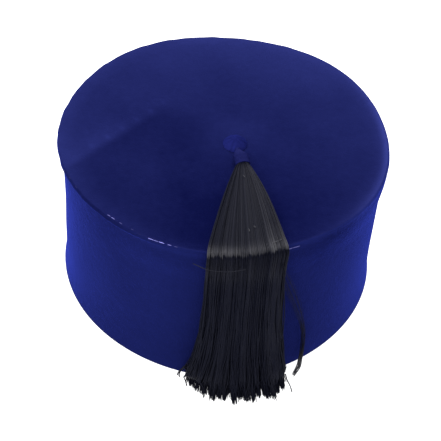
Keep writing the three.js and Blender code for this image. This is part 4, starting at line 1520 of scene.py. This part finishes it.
first_shade, next_shade, change = draw.uniform(0, 1, (3, LOCKS))[:, lock_of, None]
change_knot = FAN_KNOT + SHADE_CHANGE_SPAN * change
changed = ease(along, change_knot, change_knot + SHADE_CHANGE_LENGTH)
shade_in_lock = first_shade + (next_shade - first_shade) * changed
own_shade = draw.uniform(0, 1, (THREADS, 1))
shade = LOCK_SHADE_SHARE * shade_in_lock + (1 - LOCK_SHADE_SHARE) * own_shade
jagged = FADE_JAGGED * (lock_shade[lock_of] - 0.5 + draw.normal(0, FADE_JITTER, THREADS))
faded = painted_sheen_and_tone(side[:, None], jagged[:, None])
print("palest:", faded.max().round(2), "mean of the shades:", shade.mean().round(2))

# %% Make the tassel
across_threads = sideways(turn_at(side, FOLD_SPAN))[:, None, :]
third_of = np.digitize(side, [-1 / 3, 1 / 3])
for number, name in enumerate(("tassel_left", "tassel_middle", "tassel_right")):
    chosen = third_of == number
    thread_piece(name, paths[chosen], radii, THREAD_SIDES, across_threads[chosen], black_silk,
                 "tassel_thread", "tassel", THREAD_TWIST, faded=faded[chosen], shade=shade[chosen])

# %% [markdown]
# ## The binding
#
# A length of dark cord is wound round the tassel's neck, turn against turn. Its path is a helix round the
# neck's axis that starts narrow and low, inside the button's edge, and widens until it holds the whole
# bundle. It is carried as a round thread, so every turn shows.

# %% Wind the binding
WINDINGS = 19
WINDING_STEPS = 30
CORD_RADIUS = BINDING_LENGTH / WINDINGS / 2
CORD_SIDES = 8
CORD_PRESSED = 1.04
CORD_FIBRE = 0.5 * MM
CORD_FIBRE_DEPTH = 0.12 * MM
COIL_AT_BUTTON = 1.0 * MM
COIL_SUNK = 0.08 * MM
COIL_FULL_FROM = 0.6
COIL_UNEVEN = 0.06 * MM
COIL_UNEVEN_RATE = 1.7
DIP_AT_BUTTON = 1.7 * MM


def wound_cord(name, dark, light):
    """Dark satin cord: fine noise for its fibres, and a soft gloss that catches the light on each turn."""
    finish, tree, shader = new_finish(name, {"Roughness": 0.6, "Specular IOR Level": 0.03})
    fibre = noise_on(tree, own_place(tree), CORD_FIBRE, detail=3)
    tree.links.new(blend_of(tree, fibre, dark, light), shader.inputs["Base Color"])
    tree.links.new(bump_from(tree, fibre, CORD_FIBRE_DEPTH), shader.inputs["Normal"])
    return finish


binding_cord = wound_cord("binding_cord", dark=(0.004, 0.0052, 0.043), light=(0.009, 0.012, 0.096))
wound = np.linspace(0, 1, WINDINGS * WINDING_STEPS)
wound_turn = wound * WINDINGS * 2 * math.pi
widened = ease(wound, 0, COIL_FULL_FROM)
full_coil = BINDING_RADIUS - CORD_RADIUS - COIL_SUNK
coil = COIL_AT_BUTTON + (full_coil - COIL_AT_BUTTON) * widened
coil = coil + COIL_UNEVEN * np.sin(COIL_UNEVEN_RATE * wound_turn)
onward = wound * (BINDING_LENGTH - 2 * CORD_RADIUS)
across = coil * np.cos(wound_turn)
up = coil * NECK_FLATTEN * np.sin(wound_turn) - DIP_AT_BUTTON * (1 - widened)
helix = onward[:, None] * NECK_WAY + across[:, None] * NECK_ACROSS + up[:, None] * UP
cord_path = (neck_point(BINDING_START + CORD_RADIUS) + helix)[None]
thread_piece("neck_binding", cord_path, CORD_PRESSED * CORD_RADIUS, CORD_SIDES, NECK_WAY, binding_cord,
             "binding_cord", "tassel_binding")

# %% [markdown]
# ## Loose lock and stray threads
#
# One thin lock has come loose on the right and bows out from the wall before its end comes back to the
# table. One thread lies across the skirt, just under the fold, a few single hairs stick out at the bottom,
# and short pale fibres of lint lie on the fan. They are drawn as the other threads are, along paths of
# their own.

# %% Make the loose lock
LOOSE_LOCK = [  # degrees round the crown, radius and height in mm, spread in mm, thickness of its threads
    (-70.6, 97.0, 92, 0.9, 0.7),
    (-69.2, 96.8, 82, 2.4, 0.55),
    (-66.4, 95.8, 69, 3.2, 0.5),
    (-63.2, 95.3, 55, 3.0, 0.5),
    (-60.4, 95.4, 41, 2.0, 0.55),
    (-58.4, 96.0, 27, 1.4, 0.6),
    (-57.9, 97.2, 14, 1.2, 0.8),
    (-59.2, 99.6, 5, 1.1, 1.3),
    (-60.7, 102.4, 2.8, 1.3, 1.8),
    (-63.0, 105.2, 1.5, 1.0, 1.6),
]
LOOSE_THREADS = 16
LOOSE_STEPS = 34
LOOSE_JITTER = 0.12 * MM
LOOSE_END_CHANGE = (-0.4, 0.15)
# Painted highlight: the loose lock's end is painted grey where it catches the light
LOOSE_END_HIGHLIGHT = 1.6
LOOSE_HIGHLIGHT_RISE = (0.66, 0.9)
STRAY_SHADE = 0.6


def polar_rows(rows):
    """Points from rows that begin with an angle in degrees and a radius and a height in millimetres."""
    angle, radius, height = np.array(rows).T[:3]
    return polar(np.radians(angle), radius * MM, height * MM)


def lock_threads(knots, spread, turn, count):
    """Threads of a lock: its line plus a place in a disc of its spread, with ends of unlike length."""
    angle = draw.uniform(0, 2 * math.pi, count)[:, None, None]
    reach = np.sqrt(draw.uniform(0, 1, count))[:, None, None]
    offsets = reach * (np.cos(angle) * sideways(turn) + np.sin(angle) * outwards(turn))
    line = knots + offsets * spread[:, None]
    line = line + draw.normal(0, LOOSE_JITTER, line.shape)
    line[:, -1] += (knots[-1] - knots[-2]) * draw.uniform(*LOOSE_END_CHANGE, count)[:, None]
    line = smooth_path(line, np.linspace(0, len(knots) - 1, LOOSE_STEPS))
    line[..., 2] = np.maximum(line[..., 2], LOWEST)
    return line


loose_spread, loose_thick = np.array(LOOSE_LOCK).T[3:]
loose_turn = math.radians(LOOSE_LOCK[0][0])
loose_paths = lock_threads(polar_rows(LOOSE_LOCK), loose_spread * MM, loose_turn, LOOSE_THREADS)
loose_along = np.linspace(0, 1, LOOSE_STEPS)
loose_thick = np.interp(loose_along, np.linspace(0, 1, len(LOOSE_LOCK)), loose_thick)
# A painted highlight towards the loose lock's end
loose_end_highlight = LOOSE_END_HIGHLIGHT * ease(loose_along, *LOOSE_HIGHLIGHT_RISE)
thread_piece("tassel_loose_lock", loose_paths, THREAD_RADIUS * loose_thick, THREAD_SIDES,
             sideways(loose_turn), black_silk, "tassel_thread", twist=THREAD_TWIST,
             faded=loose_end_highlight, shade=STRAY_SHADE)

# %% Make the strays
STRAYS = [  # how grey, how thick, then degrees round the crown, radius and height in mm of each knot
    (0.25, 1.1, [(-81.4, 98.6, 92.4), (-84.3, 99.6, 92.4), (-87.0, 99.7, 92.0), (-89.8, 99.5, 91.9),
                 (-92.4, 98.9, 92.0), (-94.5, 97.0, 91.2), (-96.9, 94.3, 89.8)]),
    (0.3, 2.3, [(-66.4, 106.4, 7.0), (-66.2, 108.2, 4.0), (-65.8, 109.8, 2.0), (-65.7, 112.0, 1.0),
                (-65.9, 114.6, 0.6)]),
    (0.1, 2.4, [(-97.0, 97.9, 9.0), (-98.6, 98.5, 5.0), (-99.3, 98.9, 2.5), (-99.5, 99.6, 1.0),
                (-99.2, 100.9, 0.6)]),
    (0.1, 2.0, [(-97.3, 97.9, 9.0), (-98.9, 98.5, 5.0), (-99.7, 98.9, 2.5), (-100.0, 99.4, 1.0),
                (-100.1, 100.2, 0.6)]),
    (0.1, 2.2, [(-95.5, 99.5, 7.0), (-97.0, 100.3, 3.5), (-97.7, 101.1, 1.5), (-97.0, 103.0, 0.8),
                (-96.3, 105.9, 0.6)]),
    (1.6, 1.1, [(-79.4, 80.3, 101.7), (-79.1, 81.2, 101.8), (-79.3, 82.2, 101.7)]),
    (1.6, 1.1, [(-72.7, 91.3, 101.7), (-71.9, 91.2, 101.9), (-71.2, 90.7, 101.6)]),
    (1.6, 1.1, [(-72.5, 92.5, 101.5), (-72.2, 93.0, 101.6), (-72.1, 93.5, 101.3)]),
    (1.6, 1.1, [(-70.5, 90.4, 101.5), (-69.9, 90.2, 101.6), (-69.6, 89.8, 101.3)]),
    (1.6, 1.1, [(-74.3, 41.5, 101.1), (-73.9, 42.1, 101.2), (-73.7, 42.8, 101.1)]),
    (1.6, 1.1, [(-77.1, 78.6, 101.6), (-76.8, 79.2, 101.7), (-76.8, 79.8, 101.6)]),
]
STRAY_STEPS = 24
STRAY_ACROSS = np.array([0.3, 0.2, 1.0])

stray_greys, stray_thick = np.array([row[:2] for row in STRAYS]).T[..., None]
stray_paths = [smooth_path(polar_rows(rows), np.linspace(0, len(rows) - 1, STRAY_STEPS))
               for _, _, rows in STRAYS]
thread_piece("tassel_strays", np.stack(stray_paths), THREAD_RADIUS * stray_thick, THREAD_SIDES,
             STRAY_ACROSS, black_silk, "tassel_thread", faded=stray_greys, shade=STRAY_SHADE)
